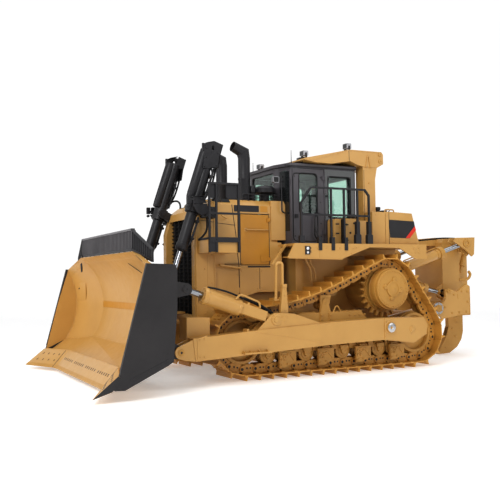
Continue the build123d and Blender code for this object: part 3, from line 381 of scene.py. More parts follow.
def both(lines):
    return lines + [[(p[0], -p[1], p[2]) for p in ln] for ln in lines]


def polar(c, r, deg):
    return (c[0] + r * cos(radians(deg)), c[1] + r * sin(radians(deg)))


# ------------------------------------------------------------------ carried-over nodes
CAD_LOOK = {}
for nm in N:
    CAD_LOOK[nm] = YEL
for nm in ("track_frames", "track_rollers", "idlers", "roller_guards", "final_drives", "trunnions",
           "pivot_shaft", "equalizer_bar", "engine_block", "sprockets", "ripper_shank"):
    CAD_LOOK[nm] = YELC
for nm in ("exhausts", "precleaners", "radiator_grille", "step_rails", "handrails", "lift_barrels",
           "lift_yokes", "spill_guard", "step_box"):
    CAD_LOOK[nm] = BLK
CAD_LOOK["step_box"] = YEL
# the engine doors take the painted-shade yellow
CAD_LOOK["engine_door_l"] = CAD_LOOK["engine_door_r"] = YEL_PAINTED_SHADE
for nm in ("pitch_cylinder_pins", "ripper_pins"):
    CAD_LOOK[nm] = STEEL
for nm in ("wing_end_plates", "blade_frame"):
    CAD_LOOK[nm] = GUARD
for nm in ("cab_body", "cab_roof", "cab_door_l", "cab_door_r"):
    CAD_LOOK[nm] = CABG
for nm in ("cab_glass", "door_glass_l", "door_glass_r"):
    CAD_LOOK[nm] = GLS
CAD_LOOK["seat"] = SEATF
CAD_LOOK["cab_consoles"] = PLAS
CAD_LOOK["work_lamps"] = GREYM
for nm in ("tilt_rods", "lift_rods", "pitch_rods", "ripper_lift_rods"):
    CAD_LOOK[nm] = CHROME
EDGE = {"cab_glass": 0.001, "door_glass_l": 0.001, "door_glass_r": 0.001, "radiator_grille": 0.003,
        "spill_guard": 0.003, "handrails": 0.002, "step_rails": 0.002, "cutting_edge": 0.005,
        "moldboard": 0.006, "cab_body": 0.008, "rops": 0.010, "hood": 0.008, "platform": 0.006}
for nm, ob in N.items():
    ob.data.materials.clear()
    ob.data.materials.append(CAD_LOOK[nm])
    w = ob.modifiers.new("weld", "WELD")
    w.merge_threshold = 0.00005
    b = ob.modifiers.new("edge", "BEVEL")
    b.width = EDGE.get(nm, 0.005)
    b.segments = 2
    b.limit_method = "ANGLE"
    b.angle_limit = radians(38)
    b.harden_normals = True
# ------------------------------------------------------------------ tracks
def arc(c, r, a0, a1, n=48):
    return [polar(c, r, a0 + (a1 - a0) * i / n) for i in range(n + 1)]


FRONT, REAR, SPR = (-0.05, 0.66), (-3.86, 0.66), (-3.2, 1.53)
PIN_LINE = (
    arc(REAR, 0.475, 270, 144.2)
    + arc(SPR, 0.502, 144.2, 65)
    + [(-2.70, 1.862), (-2.197, 1.630), (-1.543, 1.380), (-0.922, 1.221)]
    + arc(FRONT, 0.475, 98.5, -90)
)
COUNT = 43


def walk(line, count, offset):
    """Points at equal steps along the closed line, starting offset metres in."""
    seg = [(a, b, math.dist(a, b)) for a, b in zip(line, line[1:] + line[:1])]
    total = sum(s[2] for s in seg)
    pts = []
    for i in range(count):
        d = (offset + i * total / count) % total
        for a, b, length in seg:
            if d <= length:
                k = d / length if length else 0
                pts.append((a[0] + (b[0] - a[0]) * k, a[1] + (b[1] - a[1]) * k))
                break
            d -= length
    return pts, total / count


PINS, PITCH = walk(PIN_LINE, COUNT, 0.113)


class Unit(Mesh):
    """Draws in a shoe's own axes: s along the chain, u outwards, y across."""

    def place(self, a, b, y):
        self.o, self.y = Vector((a[0], 0, a[1])), y
        self.t = (Vector((b[0], 0, b[1])) - self.o).normalized()
        self.n = Vector((-self.t.z, 0, self.t.x))  # the pin line runs clockwise seen from the left
        return self

    def p(self, s, u, y):
        return self.o + self.t * s + self.n * u + Vector((0, self.y + y, 0))

    def pris(self, pts, y0, y1):
        n = len(pts)
        verts = [self.p(s, u, y0) for s, u in pts] + [self.p(s, u, y1) for s, u in pts]
        faces = [list(range(n))[::-1], [n + i for i in range(n)]]
        faces += [[i, (i + 1) % n, n + (i + 1) % n, n + i] for i in range(n)]
        self.faces(verts, faces)


SHOE = [(-0.030, 0.083), (0.222, 0.083), (0.240, 0.090), (0.236, 0.104), (0.036, 0.106),
        (0.020, 0.150), (0.016, 0.186), (-0.006, 0.186), (-0.010, 0.150), (-0.016, 0.106),
        (-0.030, 0.102)]
LIP = [(-0.085, 0.068), (-0.020, 0.072), (-0.020, 0.084), (-0.085, 0.081)]  # reaches under the shoe before it
LINK = [(0.040, -0.080), (PITCH - 0.045, -0.080), (PITCH - 0.020, -0.062), (PITCH + 0.030, -0.040),
        (PITCH + 0.046, 0.0), (PITCH + 0.036, 0.040), (PITCH - 0.020, 0.055), (PITCH - 0.040, 0.082),
        (0.020, 0.082), (0.006, 0.050), (0.030, 0.0), (0.006, -0.045)]
EYE = [(-0.036, -0.040), (0.050, -0.066), (0.070, -0.078), (0.085, 0.050), (0.040, 0.060),
       (-0.036, 0.044), (-0.050, 0.0)]
for label, s in (("l", 1), ("r", -1)):
    shoes, links, dark = Unit(), Unit(), Unit()
    for i in range(COUNT):
        a, b = PINS[i], PINS[(i + 1) % COUNT]
        for u in (shoes, links, dark):
            u.place(a, b, 1.275 * s)
        shoes.pris(SHOE, -0.305, 0.305)
        shoes.pris(LIP, -0.304, 0.304)
        for ss in (0.082, 0.172):
            for yy in (-0.125, -0.060, 0.060, 0.125):
                shoes.bolt(shoes.p(ss, 0.105, yy), shoes.n, 0.016, 0.014, washer=False)
        for side in (-1, 1):
            y0, y1 = sorted((side * 0.060, side * 0.116))
            links.pris(LINK, y0, y1)
            y0, y1 = sorted((side * 0.110, side * 0.130))
            links.pris(EYE, y0, y1)
            # boss round the pin; painted shade: dark discs in the recess of its plug and in the two windows of the link
            yb = side * 0.130
            links.ring(links.p(0, 0, yb), (0, side, 0), 0.010, 0.042, 0.027, seg=18, c=0.002)
            dark.lathe(dark.p(0, 0, yb - side * 0.001), (0, side, 0), [(0, 0.0275), (0.004, 0.0275)], 14)
            dark.lathe(dark.p(0.105, -0.012, side * 0.1165), (0, side, 0), [(0, 0.017), (0.003, 0.016)], 12)
            dark.lathe(dark.p(0.168, -0.012, side * 0.1165), (0, side, 0), [(0, 0.015), (0.003, 0.014)], 12)
        links.rod(links.p(0, 0, -0.06), links.p(0, 0, 0.06), 0.045, 16)
    shoes.out(f"track_shoes_{label}", YELT, "tractor", slot="yellow_paint", replaces=(f"track_{label}",), bevel=0.0025, seg=1)
    links.out(f"track_links_{label}", YELT, "tractor", slot="yellow_paint")
    # painted shade in the pin recesses and the link windows
    dark.out(f"track_pin_recess_and_link_window_shade_{label}", DRK, "tractor", slot="black_paint")

# ------------------------------------------------------------------ sprocket, final drive
m = Mesh()
teeth = []
for i in range(25):
    a = 360 / 25 * i
    for da, r in ((-4.6, 0.452), (-3.2, 0.470), (-1.5, 0.538), (1.5, 0.538), (3.2, 0.470), (4.6, 0.452)):
        teeth.append(polar(SPR, r, a + da))
m.prism(teeth, 1.236, 1.316)
for s in (1,):
    m.ring((SPR[0], 1.316, SPR[1]), (0, 1, 0), 0.030, 0.440, 0.330, 60)
    for i in range(50):
        x, z = polar(SPR, 0.415, 7.2 * i + 2)
        m.bolt((x, 1.346, z), (0, 1, 0), 0.014, 0.014, washer=False)
m.mirror().out("sprocket_wheels", YELC, "tractor", slot="yellow_paint", replaces=("sprockets",), bevel=0.003, seg=1)

m = Mesh()
C = (-3.2, 1.53)
m.ring((C[0], 1.400, C[1]), (0, 1, 0), 0.022, 0.412, 0.30, 64, c=0.006)
m.ring((C[0], 1.612, C[1]), (0, 1, 0), 0.012, 0.372, 0.296, 64, c=0.006)
m.ring((C[0], 1.632, C[1]), (0, 1, 0), 0.012, 0.150, 0.118, 48, c=0.004)
m.lathe((C[0], 1.632, C[1]), (0, 1, 0), [(0, 0.118), (0.004, 0.118), (0.006, 0.105), (0.006, 0.03), (0.010, 0.022), (0.010, 0)], 36)
for a in (100, 12, -78, 190):
    x, z = polar(C, 0.182, a)
    m.lathe((x, 1.606, z), (0, 1, 0), [(0, 0.052), (0.030, 0.046), (0.036, 0.038), (0.036, 0.014), (0.031, 0.010), (0.031, 0)], 22)
for i in range(36):
    x, z = polar(C, 0.334, 10 * i)
    m.bolt((x, 1.624, z), (0, 1, 0), 0.0125, 0.013, washer=False)
for i in range(30):
    x, z = polar(C, 0.392, 12 * i + 4)
    m.bolt((x, 1.422, z), (0, 1, 0), 0.014, 0.014, washer=False)
for i in range(18):
    x, z = polar(C, 0.235, 20 * i + 7)
    m.bolt((x, 1.620, z), (0, 1, 0), 0.008, 0.006, washer=False)
m.mirror().out("final_drive_covers", YELC, "tractor", slot="yellow_paint")

# ------------------------------------------------------------------ rollers, idlers
RX = [-0.576, -0.965, -1.370, -1.770, -2.170, -2.600, -3.000, -3.330]
m = Mesh()
for x in RX:
    for side in (1, -1):
        prof = [(0.0, 0.100), (0.020, 0.128), (0.085, 0.136), (0.092, 0.158), (0.112, 0.158), (0.122, 0.150),
                (0.130, 0.112), (0.138, 0.108), (0.146, 0.085), (0.146, 0.070), (0.185, 0.064), (0.189, 0.050), (0.189, 0.024), (0.184, 0.020), (0.184, 0)]
        m.lathe((x, 1.275, 0.403), (0, side, 0), prof, 30)
m.lathe((-1.765, 1.150, 1.250), (0, 1, 0), [(0, 0.06), (0.004, 0.075), (0.10, 0.078), (0.104, 0.094), (0.125, 0.094), (0.130, 0.078), (0.262, 0.078), (0.266, 0.060), (0.270, 0.03), (0.270, 0)], 30)
m.mirror().out("track_roller_wheels", YELC, "tractor", slot="yellow_paint", replaces=("track_rollers",))

m = Mesh()
for x in (FRONT[0], REAR[0]):
    m.ring((x, 1.405, 0.66), (0, 1, 0), 0.014, 0.388, 0.340, 56)
    m.lathe((x, 1.330, 0.66), (0, 1, 0), [(0, 0.335), (0.006, 0.335), (0.030, 0.19), (0.085, 0.16), (0.092, 0.14), (0.092, 0.05), (0.10, 0.045), (0.10, 0)], 48)
    for i in range(8):
        px, pz = polar((x, 0.66), 0.118, 45 * i + 10)
        m.bolt((px, 1.421, pz), (0, 1, 0), 0.012, 0.010, washer=False)
m.mirror().out("idler_hubs", YELC, "tractor", slot="yellow_paint")

# guide plates with their bolts and the clamps of the roller shafts
m = Mesh()
for x in (-0.960, -1.770, -2.600, -3.390):
    m.prism([(x + 0.200, 0.440), (x + 0.200, 0.185), (x + 0.080, 0.185), (x + 0.010, 0.215), (x - 0.010, 0.440)], 1.502, 1.514)
    for dx, dz in ((0.165, 0.225), (0.165, 0.400), (0.105, 0.310), (0.045, 0.235), (0.040, 0.400), (0.165, 0.315)):
        m.bolt((x + dx, 1.514, dz), (0, 1, 0), 0.017, 0.015)
    m.ring((x + 0.105, 1.512, 0.368), (0, 1, 0), 0.012, 0.036, 0.018, 20)
    m.prism([(x - 0.020, 0.430), (x - 0.120, 0.290), (x - 0.100, 0.275), (x - 0.005, 0.400)], 1.502, 1.516)
m.mirror().out("roller_guard_plates", YELC, "tractor", slot="yellow_paint", bevel=0.003)
m = Mesh()
for x in RX:
    m.box((x - 0.085, x + 0.085), (1.420, 1.468), (0.440, 0.500))
    for dx in (-0.062, 0.062):
        m.bolt((x + dx, 1.444, 0.440), (0, 0, -1), 0.016, 0.018)
m.mirror().out("roller_shaft_clamps", YELC, "tractor", slot="yellow_paint", bevel=0.004)

# track frame: recoil housing, cover plates, stand of the carrier roller, lifting eye
m = Mesh()
m.prism([(-1.645, 1.10), (-1.665, 1.26), (-1.655, 1.40), (-1.880, 1.40), (-1.870, 1.30), (-1.835, 1.24), (-1.845, 1.10)], 1.420, 1.452)
m.box((-1.880, -1.650), (1.390, 1.470), (1.390, 1.440))
m.lathe((-1.765, 1.452, 1.320), (0, 1, 0), [(0, 0.062), (0.012, 0.062), (0.016, 0.054), (0.016, 0.02), (0.022, 0.016), (0.022, 0)], 24)
m.box((-1.700, -1.640), (1.430, 1.480), (0.950, 1.110))
m.box((-1.890, -1.830), (1.430, 1.480), (0.950, 1.110))
m.box((-1.900, -1.630), (1.395, 1.470), (0.955, 1.000))
for x in (-1.670, -1.860):
    m.bolt((x, 1.480, 1.070), (0, 1, 0), 0.016, 0.014)
    m.bolt((x, 1.480, 0.990), (0, 1, 0), 0.016, 0.014)
m.tube([(-2.115, 1.44, 1.115), (-2.055, 1.44, 1.225), (-2.005, 1.44, 1.232), (-1.945, 1.44, 1.115)], 0.015, 0.05)
for x in (-0.62, -0.80, -0.98, -2.30, -2.42, -2.52, -2.64):
    m.bolt((x, 1.465, 1.02 if x > -2 else 1.06), (0, 1, 0), 0.016, 0.013)
m.box((-1.60, -1.00), (1.20, 1.40), (1.118, 1.134))
m.box((-2.62, -1.95), (1.18, 1.42), (1.124, 1.138))
for x in (-1.56, -1.30, -1.04, -2.0, -2.28, -2.57):
    for y in (1.23, 1.375):
        m.bolt((x, y, 1.134 if x > -1.7 else 1.138), (0, 0, 1), 0.014, 0.012)
m.mirror().out("track_frame_fittings", YELC, "tractor", slot="yellow_paint", bevel=0.004)

# ------------------------------------------------------------------ push arms
m = Mesh()
m.prism([(-2.772, 0.606), (-2.772, 0.992), (-3.690, 0.976), (-3.748, 0.668), (-3.452, 0.520)], 1.888, 1.899)
m.prism([(0.980, 0.455), (0.980, 0.800), (0.800, 0.845), (0.800, 0.452)], 1.888, 1.896)
for x, z in ((-2.81, 0.945), (-2.81, 0.655), (0.85, 0.79), (0.85, 0.50), (0.93, 0.77), (0.93, 0.50)):
    m.bolt((x, 1.897, z), (0, 1, 0), 0.014, 0.010, washer=False)
m.ring((-2.903, 1.890, 0.820), (0, 1, 0), 0.022, 0.135, 0.096, 44, c=0.005)
m.lathe((-3.408, 1.897, 0.770), (0, 1, 0), [(0, 0.062), (0.010, 0.058), (0.012, 0.040), (0.024, 0.036), (0.026, 0.028), (0.026, 0)], 28)
for a in (0, 90, 180, 270):
    x, z = polar((-3.408, 0.770), 0.088, a + 8)
    m.bolt((x, 1.897, z), (0, 1, 0), 0.009, 0.008, washer=False)
# weld seams
m.sweep([(-0.059, 1.8905, 0.866), (-1.440, 1.8905, 0.616)], 0.0035, 6)
m.sweep([(-0.30, 1.8905, 0.895), (-1.60, 1.8905, 0.960)], 0.0035, 6)
# tilt bracket: cap on the pin, bolts
m.lathe((-0.506, 1.864, 1.049), (0, 1, 0), [(0, 0.098), (0.012, 0.094), (0.016, 0.082), (0.016, 0.056), (0.026, 0.052), (0.030, 0.040), (0.030, 0)], 36)
for x, z in ((-0.628, 1.098), (-0.714, 1.096), (-0.671, 1.018)):
    m.bolt((x, 1.864, z), (0, 1, 0), 0.013, 0.009, washer=False)
# step
m.box((-0.335, 0.175), (1.885, 2.015), (0.506, 0.520))
for x in (-0.30, -0.14, 0.02, 0.14):
    m.prism([(1.888, 0.522), (1.888, 0.560), (1.900, 0.560), (1.990, 0.522)], x, x + 0.010, "x")
for i in range(16):
    m.box((-0.325 + i * 0.031, -0.317 + i * 0.031), (1.905, 2.010), (0.520, 0.528))
m.box((-0.335, 0.175), (2.007, 2.015), (0.520, 0.532))
# post head, clamp and loop over the arm
m.box((-0.760, -0.668), (1.725, 1.805), (1.600, 1.660))
m.tube([(-0.690, 1.765, 1.640), (-0.690, 1.765, 2.030), (-0.600, 1.715, 2.030), (-0.592, 1.700, 1.402)], 0.0265, 0.085, 14, 8)
m.box((-0.665, -0.550), (1.672, 1.728), (1.372, 1.396))
for x in (-0.655, -0.562):
    m.box((x - 0.010, x + 0.010), (1.680, 1.720), (1.390, 1.430))
for z in (1.20, 1.33, 1.46, 1.58):
    m.bolt((-0.715, 1.796, z), (0, 1, 0), 0.009, 0.007, washer=False)
m.box((0.02, 0.06), (1.70, 1.86), (0.865, 0.915))
m.mirror().out("push_arm_fittings", YEL, "push_arms", slot="yellow_paint", bevel=0.0025)
m = Mesh()
m.lathe((-2.903, 1.935, 0.820), (0, 1, 0), [(0, 0.090), (0.008, 0.090), (0.012, 0.084), (0.012, 0.030), (0.004, 0.022), (0.004, 0)], 36)
m.mirror().out("trunnion_pin_ends", STEEL, "tractor", slot="chromed_rod")

# ------------------------------------------------------------------ tilt cylinders
T0, T1 = Vector((-0.506, 0, 1.049)), Vector((1.145, 0, 1.600))
TD = (T1 - T0).normalized()
TN = Vector((-TD.z, 0, TD.x))


def tp(d, up_, y):
    return T0 + TD * d + TN * up_ + Vector((0, y, 0))


m = Mesh()
ay = 1.765
m.lathe(tp(0.690, 0, ay), TD, [(0, 0.120), (0.012, 0.142), (0.055, 0.142), (0.060, 0.137), (0.640, 0.137), (0.650, 0.150), (0.700, 0.150), (0.716, 0.140), (0.722, 0.100), (0.722, 0.058)], 40)
for i in range(10):
    a = 2 * pi * i / 10
    q = tp(1.412, 0, ay) + (TN * cos(a) + Vector((0, 1, 0)) * sin(a)) * 0.118
    m.bolt(q, TD, 0.012, 0.012, washer=False)
m.lathe(tp(0.200, 0, ay), TD, [(0, 0.070), (0.02, 0.098), (0.470, 0.098), (0.480, 0.110), (0.495, 0.118)], 32)
# guard plate and loop handle on the near face
m.prism([(tp(0.20, -0.085, 0).x, tp(0.20, -0.085, 0).z), (tp(0.86, -0.085, 0).x, tp(0.86, -0.085, 0).z),
         (tp(0.86, 0.100, 0).x, tp(0.86, 0.100, 0).z), (tp(0.20, 0.085, 0).x, tp(0.20, 0.085, 0).z)], 1.852, 1.868)
m.tube([tp(0.365, 0.095, 1.860), tp(0.400, 0.190, 1.860), tp(0.790, 0.215, 1.860), tp(0.850, 0.105, 1.860)], 0.0175, 0.07, 12)
m.box((tp(0.56, 0, 0).x - 0.02, tp(0.56, 0, 0).x + 0.02), (1.84, 1.87), (tp(0.56, 0.10, 0).z - 0.01, tp(0.56, 0.14, 0).z))
m.mirror().out("tilt_cylinder_fittings", YEL, "tilt_barrels", slot="yellow_paint", bevel=0.002)
m = Mesh()
m.lathe((1.145, 1.709, 1.600), (0, 1, 0), [(0, 0.060), (0.004, 0.074), (0.108, 0.074), (0.112, 0.060)], 30)
m.mirror().out("tilt_rod_bushes", DRK, "tilt_rods", slot="black_paint")
hoses("tilt_hoses", both([
    [tp(0.72, 0.16, 1.80), tp(0.60, 0.20, 1.80), tp(0.30, 0.16, 1.79), tp(0.05, 0.10, 1.77)],
    [tp(1.36, 0.155, 1.78), tp(1.10, 0.20, 1.79), tp(0.62, 0.17, 1.77), tp(0.30, 0.14, 1.76), tp(0.06, 0.085, 1.74)],
]), 0.016, RUB, "tilt_barrels")


# ------------------------------------------------------------------ blade
def arc3(p0, p1, p2, t):
    """Point at a share t of the circle arc p0, p1, p2."""
    ax, ay, bx, by, cx, cy = *p0, *p1, *p2
    d = 2 * (ax * (by - cy) + bx * (cy - ay) + cx * (ay - by))
    ux = ((ax * ax + ay * ay) * (by - cy) + (bx * bx + by * by) * (cy - ay) + (cx * cx + cy * cy) * (ay - by)) / d
    uy = ((ax * ax + ay * ay) * (cx - bx) + (bx * bx + by * by) * (ax - cx) + (cx * cx + cy * cy) * (bx - ax)) / d
    r = sqrt((ax - ux) ** 2 + (ay - uy) ** 2)
    a0, a1, a2 = (atan2(p[1] - uy, p[0] - ux) for p in (p0, p1, p2))
    while a1 < a0:
        a1 += 2 * pi
    while a2 < a1:
        a2 += 2 * pi
    a = a0 + (a2 - a0) * t
    return ux + r * cos(a), uy + r * sin(a)


CEN = [(1.990, 2.218), (1.531, 1.300), (1.760, 0.640)]
WNG = [(2.040, 1.990), (1.858, 1.400), (2.096, 0.560)]
EDGE_MID = [(2.225, 0.400), (2.492, 0.075)]
EDGE_END = [(2.511, 0.379), (2.895, 0.070)]


def share(y):
    return max(0.0, (abs(y) - 1.63) / 0.91)


def face(t, y, off=0.0):
    """Point on the hollow face: t = 0 at the top, 1 at the bottom of the curve."""
    a, b, w = arc3(*CEN, t), arc3(*WNG, t), share(y)
    c, e = arc3(*CEN, min(1, t + 0.02)), arc3(*CEN, max(0, t - 0.02))
    n = Vector((-(c[1] - e[1]), 0, c[0] - e[0])).normalized()
    if n.x < 0:
        n = -n
    return Vector((a[0] + (b[0] - a[0]) * w, y, a[1] + (b[1] - a[1]) * w)) + n * off


def edge_face(v, y, off=0.0):
    """Point on the cutting edge's front face: v = 0 at its top, 1 at its tip."""
    w = max(0.0, (abs(y) - 1.63) / 0.97)
    a, b = [((1 - w) * p[0] + w * q[0], (1 - w) * p[1] + w * q[1]) for p, q in zip(EDGE_MID, EDGE_END)]
    d = Vector((b[0] - a[0], 0, b[1] - a[1]))
    n = Vector((-d.z, 0, d.x)).normalized()
    if n.x < 0:
        n = -n
    return Vector((a[0] + d.x * v, y, a[1] + d.z * v)) + n * off, n


# plow bolts: oblong heads sunk in the edge
m = Mesh()


def bolt_mark(v, y, w=0.010, length=0.062):
    a, n = edge_face(v - length, y, -0.002)
    b, n = edge_face(v + length, y, -0.002)
    d = (b - a).normalized() * w
    e = Vector((0, 1, 0))
    ring = [a - e * w * 0.6, a + d * 0.6 - e * w, b - d * 0.6 - e * w, b - e * w * 0.6,
            b + e * w * 0.6, b - d * 0.6 + e * w, a + d * 0.6 + e * w, a + e * w * 0.6]
    k = len(ring)
    m.faces(ring + [p + n * 0.0045 for p in ring],
            [list(range(k))[::-1], [k + i for i in range(k)]] + [[i, (i + 1) % k, k + (i + 1) % k, k + i] for i in range(k)])


for group in range(4):
    for i in range(6):
        bolt_mark(0.43, -1.488 + group * 0.800 + i * 0.115, 0.012)
for s in (1, -1):
    for i in range(4):
        for v in (0.26, 0.60):
            bolt_mark(v, s * (1.86 + 0.19 * i), 0.013, 0.05)
# gaps between the edge's sections
for y, w in ((-1.746, 0.009), (1.746, 0.005)):
    a, n = edge_face(0.005, y, -0.004)
    b, n2 = edge_face(0.985, y, -0.004)
    m.faces([a + Vector((0, -w, 0)), a + Vector((0, w, 0)), b + Vector((0, w, 0)), b + Vector((0, -w, 0)),
             a + Vector((0, -w, 0)) + n * 0.0055, a + Vector((0, w, 0)) + n * 0.0055,
             b + Vector((0, w, 0)) + n2 * 0.0055, b + Vector((0, -w, 0)) + n2 * 0.0055],
            [(3, 2, 1, 0), (4, 5, 6, 7), (0, 1, 5, 4), (1, 2, 6, 5), (2, 3, 7, 6), (3, 0, 4, 7)])
m.out("edge_plow_bolts", DRK, "blade", slot="black_paint")

# worn lower lip of the cutting edge
m = Mesh()
ys = [-2.585, -2.2, -1.9, -1.63, -0.8, 0, 0.8, 1.63, 1.9, 2.2, 2.585]
rows = []
for y in ys:
    a, n = edge_face(0.83, y, 0.0012)
    b, n2 = edge_face(0.995, y, 0.0012)
    rows.append([m.bm.verts.new(q) for q in (a, b, b - n2 * 0.004, a - n * 0.004)])
for r1, r2 in zip(rows[:-1], rows[1:]):
    for i in range(4):
        j = (i + 1) % 4
        m.bm.faces.new([r1[i], r1[j], r2[j], r2[i]])
m.bm.faces.new(rows[0])
m.bm.faces.new(rows[-1][::-1])
m.out("edge_worn_lip", YELC, "blade", slot="yellow_paint")

# weld beads and rub strips on the hollow face
m = Mesh()
for s in (1, -1):
    m.sweep([face(0.04 + 0.96 * i / 24, s * 1.63, -0.001) for i in range(25)], 0.0045, 8)
    m.sweep([face(0.085, s * y, -0.001) for y in (1.63, 1.85, 2.1, 2.3, 2.5)], 0.0045, 8)
    m.sweep([face(0.985, s * y, -0.001) for y in (1.63, 1.85, 2.1, 2.3, 2.535)], 0.006, 8)
    m.sweep([face(0.02 + 0.96 * i / 24, s * 2.532, 0.001) for i in range(25)], 0.007, 8)
m.sweep([face(0.085, y, -0.001) for y in (-1.63, -0.8, 0, 0.8, 1.63)], 0.0045, 8)
m.sweep([face(0.985, y, -0.001) for y in (-1.63, -0.8, 0, 0.8, 1.63)], 0.006, 8)
# joint between face and edge
for s in (1, -1):
    m.sweep([edge_face(-0.02, s * y, -0.004)[0] for y in (0, 1.63, 2.1, 2.535)], 0.009, 8)
m.out("blade_weld_beads", YEL, "blade", slot="yellow_paint")

def patch(m, corners, up=0.004, sink=0.012):
    """A flat piece on the hollow face through (t, y) corners."""
    top = [face(t, y, up) for t, y in corners]
    low = [face(t, y, up - sink) for t, y in corners]
    k = len(top)
    m.faces(top + low, [list(range(k)), [k + i for i in range(k)][::-1]] + [(i, k + i, k + (i + 1) % k, (i + 1) % k) for i in range(k)])


# drain slots and the edge of the gusset in the corners
m = Mesh()
patch(m, [(0.046, 1.62), (0.030, 2.08), (0.052, 2.10), (0.070, 1.64)])
patch(m, [(0.050, -1.765), (0.050, -1.845), (0.138, -2.060), (0.138, -1.990)])
patch(m, [(0.146, 0.86), (0.140, 0.86), (0.256, 1.23), (0.264, 1.23)], 0.003)
patch(m, [(0.298, -2.352), (0.298, -2.388), (0.312, -2.388), (0.312, -2.352)], 0.008)
m.out("blade_top_slots", DRK, "blade", slot="black_paint")
m = Mesh()
patch(m, [(0.244, -2.29), (0.281, -2.08), (0.487, -2.20), (0.456, -2.41)], 0.005)
patch(m, [(0.244, 2.29), (0.281, 2.08), (0.487, 2.20), (0.456, 2.41)], 0.005)
m.out("blade_patch_plates", YEL, "blade", slot="yellow_paint")
# step between the upper and the lower plate of the hollow face; its band carries painted shade, the shade under the
# step
m = Mesh()
rows = []
for t, off in ((0.570, -0.004), (0.570, 0.004), (0.637, 0.006), (0.640, -0.004)):
    rows.append([m.bm.verts.new(face(t, y, off)) for y in (-1.625, -0.8, 0.0, 0.8, 1.625)])
for i in range(4):
    for k in range(4):
        m.bm.faces.new([rows[i][k], rows[i][k + 1], rows[(i + 1) % 4][k + 1], rows[(i + 1) % 4][k]])
m.bm.faces.new([r[0] for r in rows])
m.bm.faces.new([r[-1] for r in rows][::-1])
m.out("blade_face_step", YEL_PAINTED_SHADE, "blade", slot="yellow_paint")

# inner faces of the end plates
m = Mesh()
curve = [arc3(*WNG, i / 18) for i in range(19)]
plate = [(2.034, 1.965)] + [(x - 0.012, z) for x, z in curve if z < 1.96] + [(2.486, 0.372), (2.466, 0.442), (2.230, 1.343)]
m.prism(plate, 2.5375, 2.5403)
m.mirror().out("end_plate_inner_faces", YEL, "blade", slot="yellow_paint")
m = Mesh()
# wear strip and weld along the plates' front edges, step at the end bits
m.prism([(2.054, 2.002), (2.228, 1.338), (2.464, 0.441), (2.476, 0.444), (2.240, 1.343), (2.066, 2.008)], 2.5400, 2.6015)
m.prism([(2.511, 0.379), (2.890, 0.074), (2.600, 0.164), (2.444, 0.334)], 2.5990, 2.6055)
m.prism([(1.700, 0.560), (2.300, 0.300), (2.330, 0.318), (1.712, 0.588)], 2.598, 2.6045)
m.prism([(1.650, 1.900), (1.690, 1.985), (2.050, 2.000), (2.046, 1.970), (1.700, 1.955), (1.678, 1.890)], 2.598, 2.604)
for x, z in ((1.75, 0.66), (2.02, 0.54), (2.28, 0.43), (1.70, 1.85), (1.88, 1.90), (2.04, 1.92)):
    m.bolt((x, 2.6005, z), (0, 1, 0), 0.016, 0.003, washer=False)
m.mirror().out("end_plate_trim", GUARD, "blade", slot="black_paint", bevel=0.0015)

# ribs, brackets and pin heads on the back of the blade
m = Mesh()
RIB = [(1.69, 0.655), (1.42, 0.662), (1.36, 0.90), (1.345, 1.50), (1.42, 1.80), (1.62, 2.02), (1.80, 2.14),
       (1.84, 2.14), (1.66, 1.93), (1.53, 1.62), (1.495, 1.30), (1.53, 1.0)]
for y in (0.33, 1.22):
    m.prism(RIB, y - 0.011, y + 0.011)
for z in (1.46, 0.90, 1.78):
    ends = []
    for y in (1.93, 2.535):
        t = min((i / 60 for i in range(61)), key=lambda q: abs(face(q, y).z - z))
        ends.append(face(t, y).x)
    (u, v) = ends
    m.faces([(q - d, y, z + h) for h in (-0.05, 0.05) for q, y, d in ((u, 1.93, 0.17), (u, 1.93, 0.03), (v, 2.535, 0.03), (v, 2.535, 0.17))],
            [(3, 2, 1, 0), (4, 5, 6, 7), (0, 1, 5, 4), (1, 2, 6, 5), (2, 3, 7, 6), (3, 0, 4, 7)])
for x, z, y, r in ((1.145, 1.600, 1.862, 0.050), (1.281, 1.000, 0.977, 0.046),
                   (1.281, 1.000, 0.783, 0.046)):
    m.lathe((x, y - 0.012, z), (0, 1, 0), [(0, r + 0.018), (0.020, r + 0.018), (0.024, r + 0.010), (0.024, 0.016), (0.018, 0.012), (0.018, 0)], 28)
    m.bolt((x + r + 0.034, y - 0.002, z), (0, 1, 0), 0.010, 0.008)
m.mirror().out("blade_back_ribs", GUARD, "blade", slot="black_paint", bevel=0.002)

m = Mesh()
m.lathe((1.250, 1.872, 0.585), (0, 1, 0), [(0, 0.056), (0.014, 0.056), (0.018, 0.048), (0.018, 0.022), (0.010, 0.016), (0.010, 0)], 28)
m.mirror().out("blade_arm_pin_heads", YELC, "blade", slot="yellow_paint")

# guard over the blade: closed back, rail and ribs
m = Mesh()
for i in range(41):
    y = -1.58 + 0.079 * i
    m.box((1.925, 1.972), (y - 0.0085, y + 0.0085), (2.268, 2.562))
m.box((1.918, 1.974), (-1.590, 1.590), (2.558, 2.592))
m.out("guard_ribs", GREYR, "blade", slot="black_paint", bevel=0.001)
m = Mesh()
m.box((1.912, 1.922), (-1.583, 1.583), (2.235, 2.580))
for y in [-1.585 + 0.317 * i for i in range(11)]:
    m.prism([(1.880, 2.232), (1.912, 2.232), (1.912, 2.560), (1.904, 2.560)], y - 0.005, y + 0.005)
m.out("guard_back_sheet", RUB, "blade", slot="black_paint")

# ------------------------------------------------------------------ radiator guard, hood and stacks
def strip(m, pts, y, w=0.006, h=0.002):
    """A thin raised line on an upright side face, through (x, z) points."""
    for (xa, za), (xb, zb) in zip(pts[:-1], pts[1:]):
        l = sqrt((xb - xa) ** 2 + (zb - za) ** 2) or 1
        dx, dz = -(zb - za) / l * w / 2, (xb - xa) / l * w / 2
        m.prism([(xa - dx, za - dz), (xb - dx, zb - dz), (xb + dx, zb + dz), (xa + dx, za + dz)], y - 0.004, y + h)


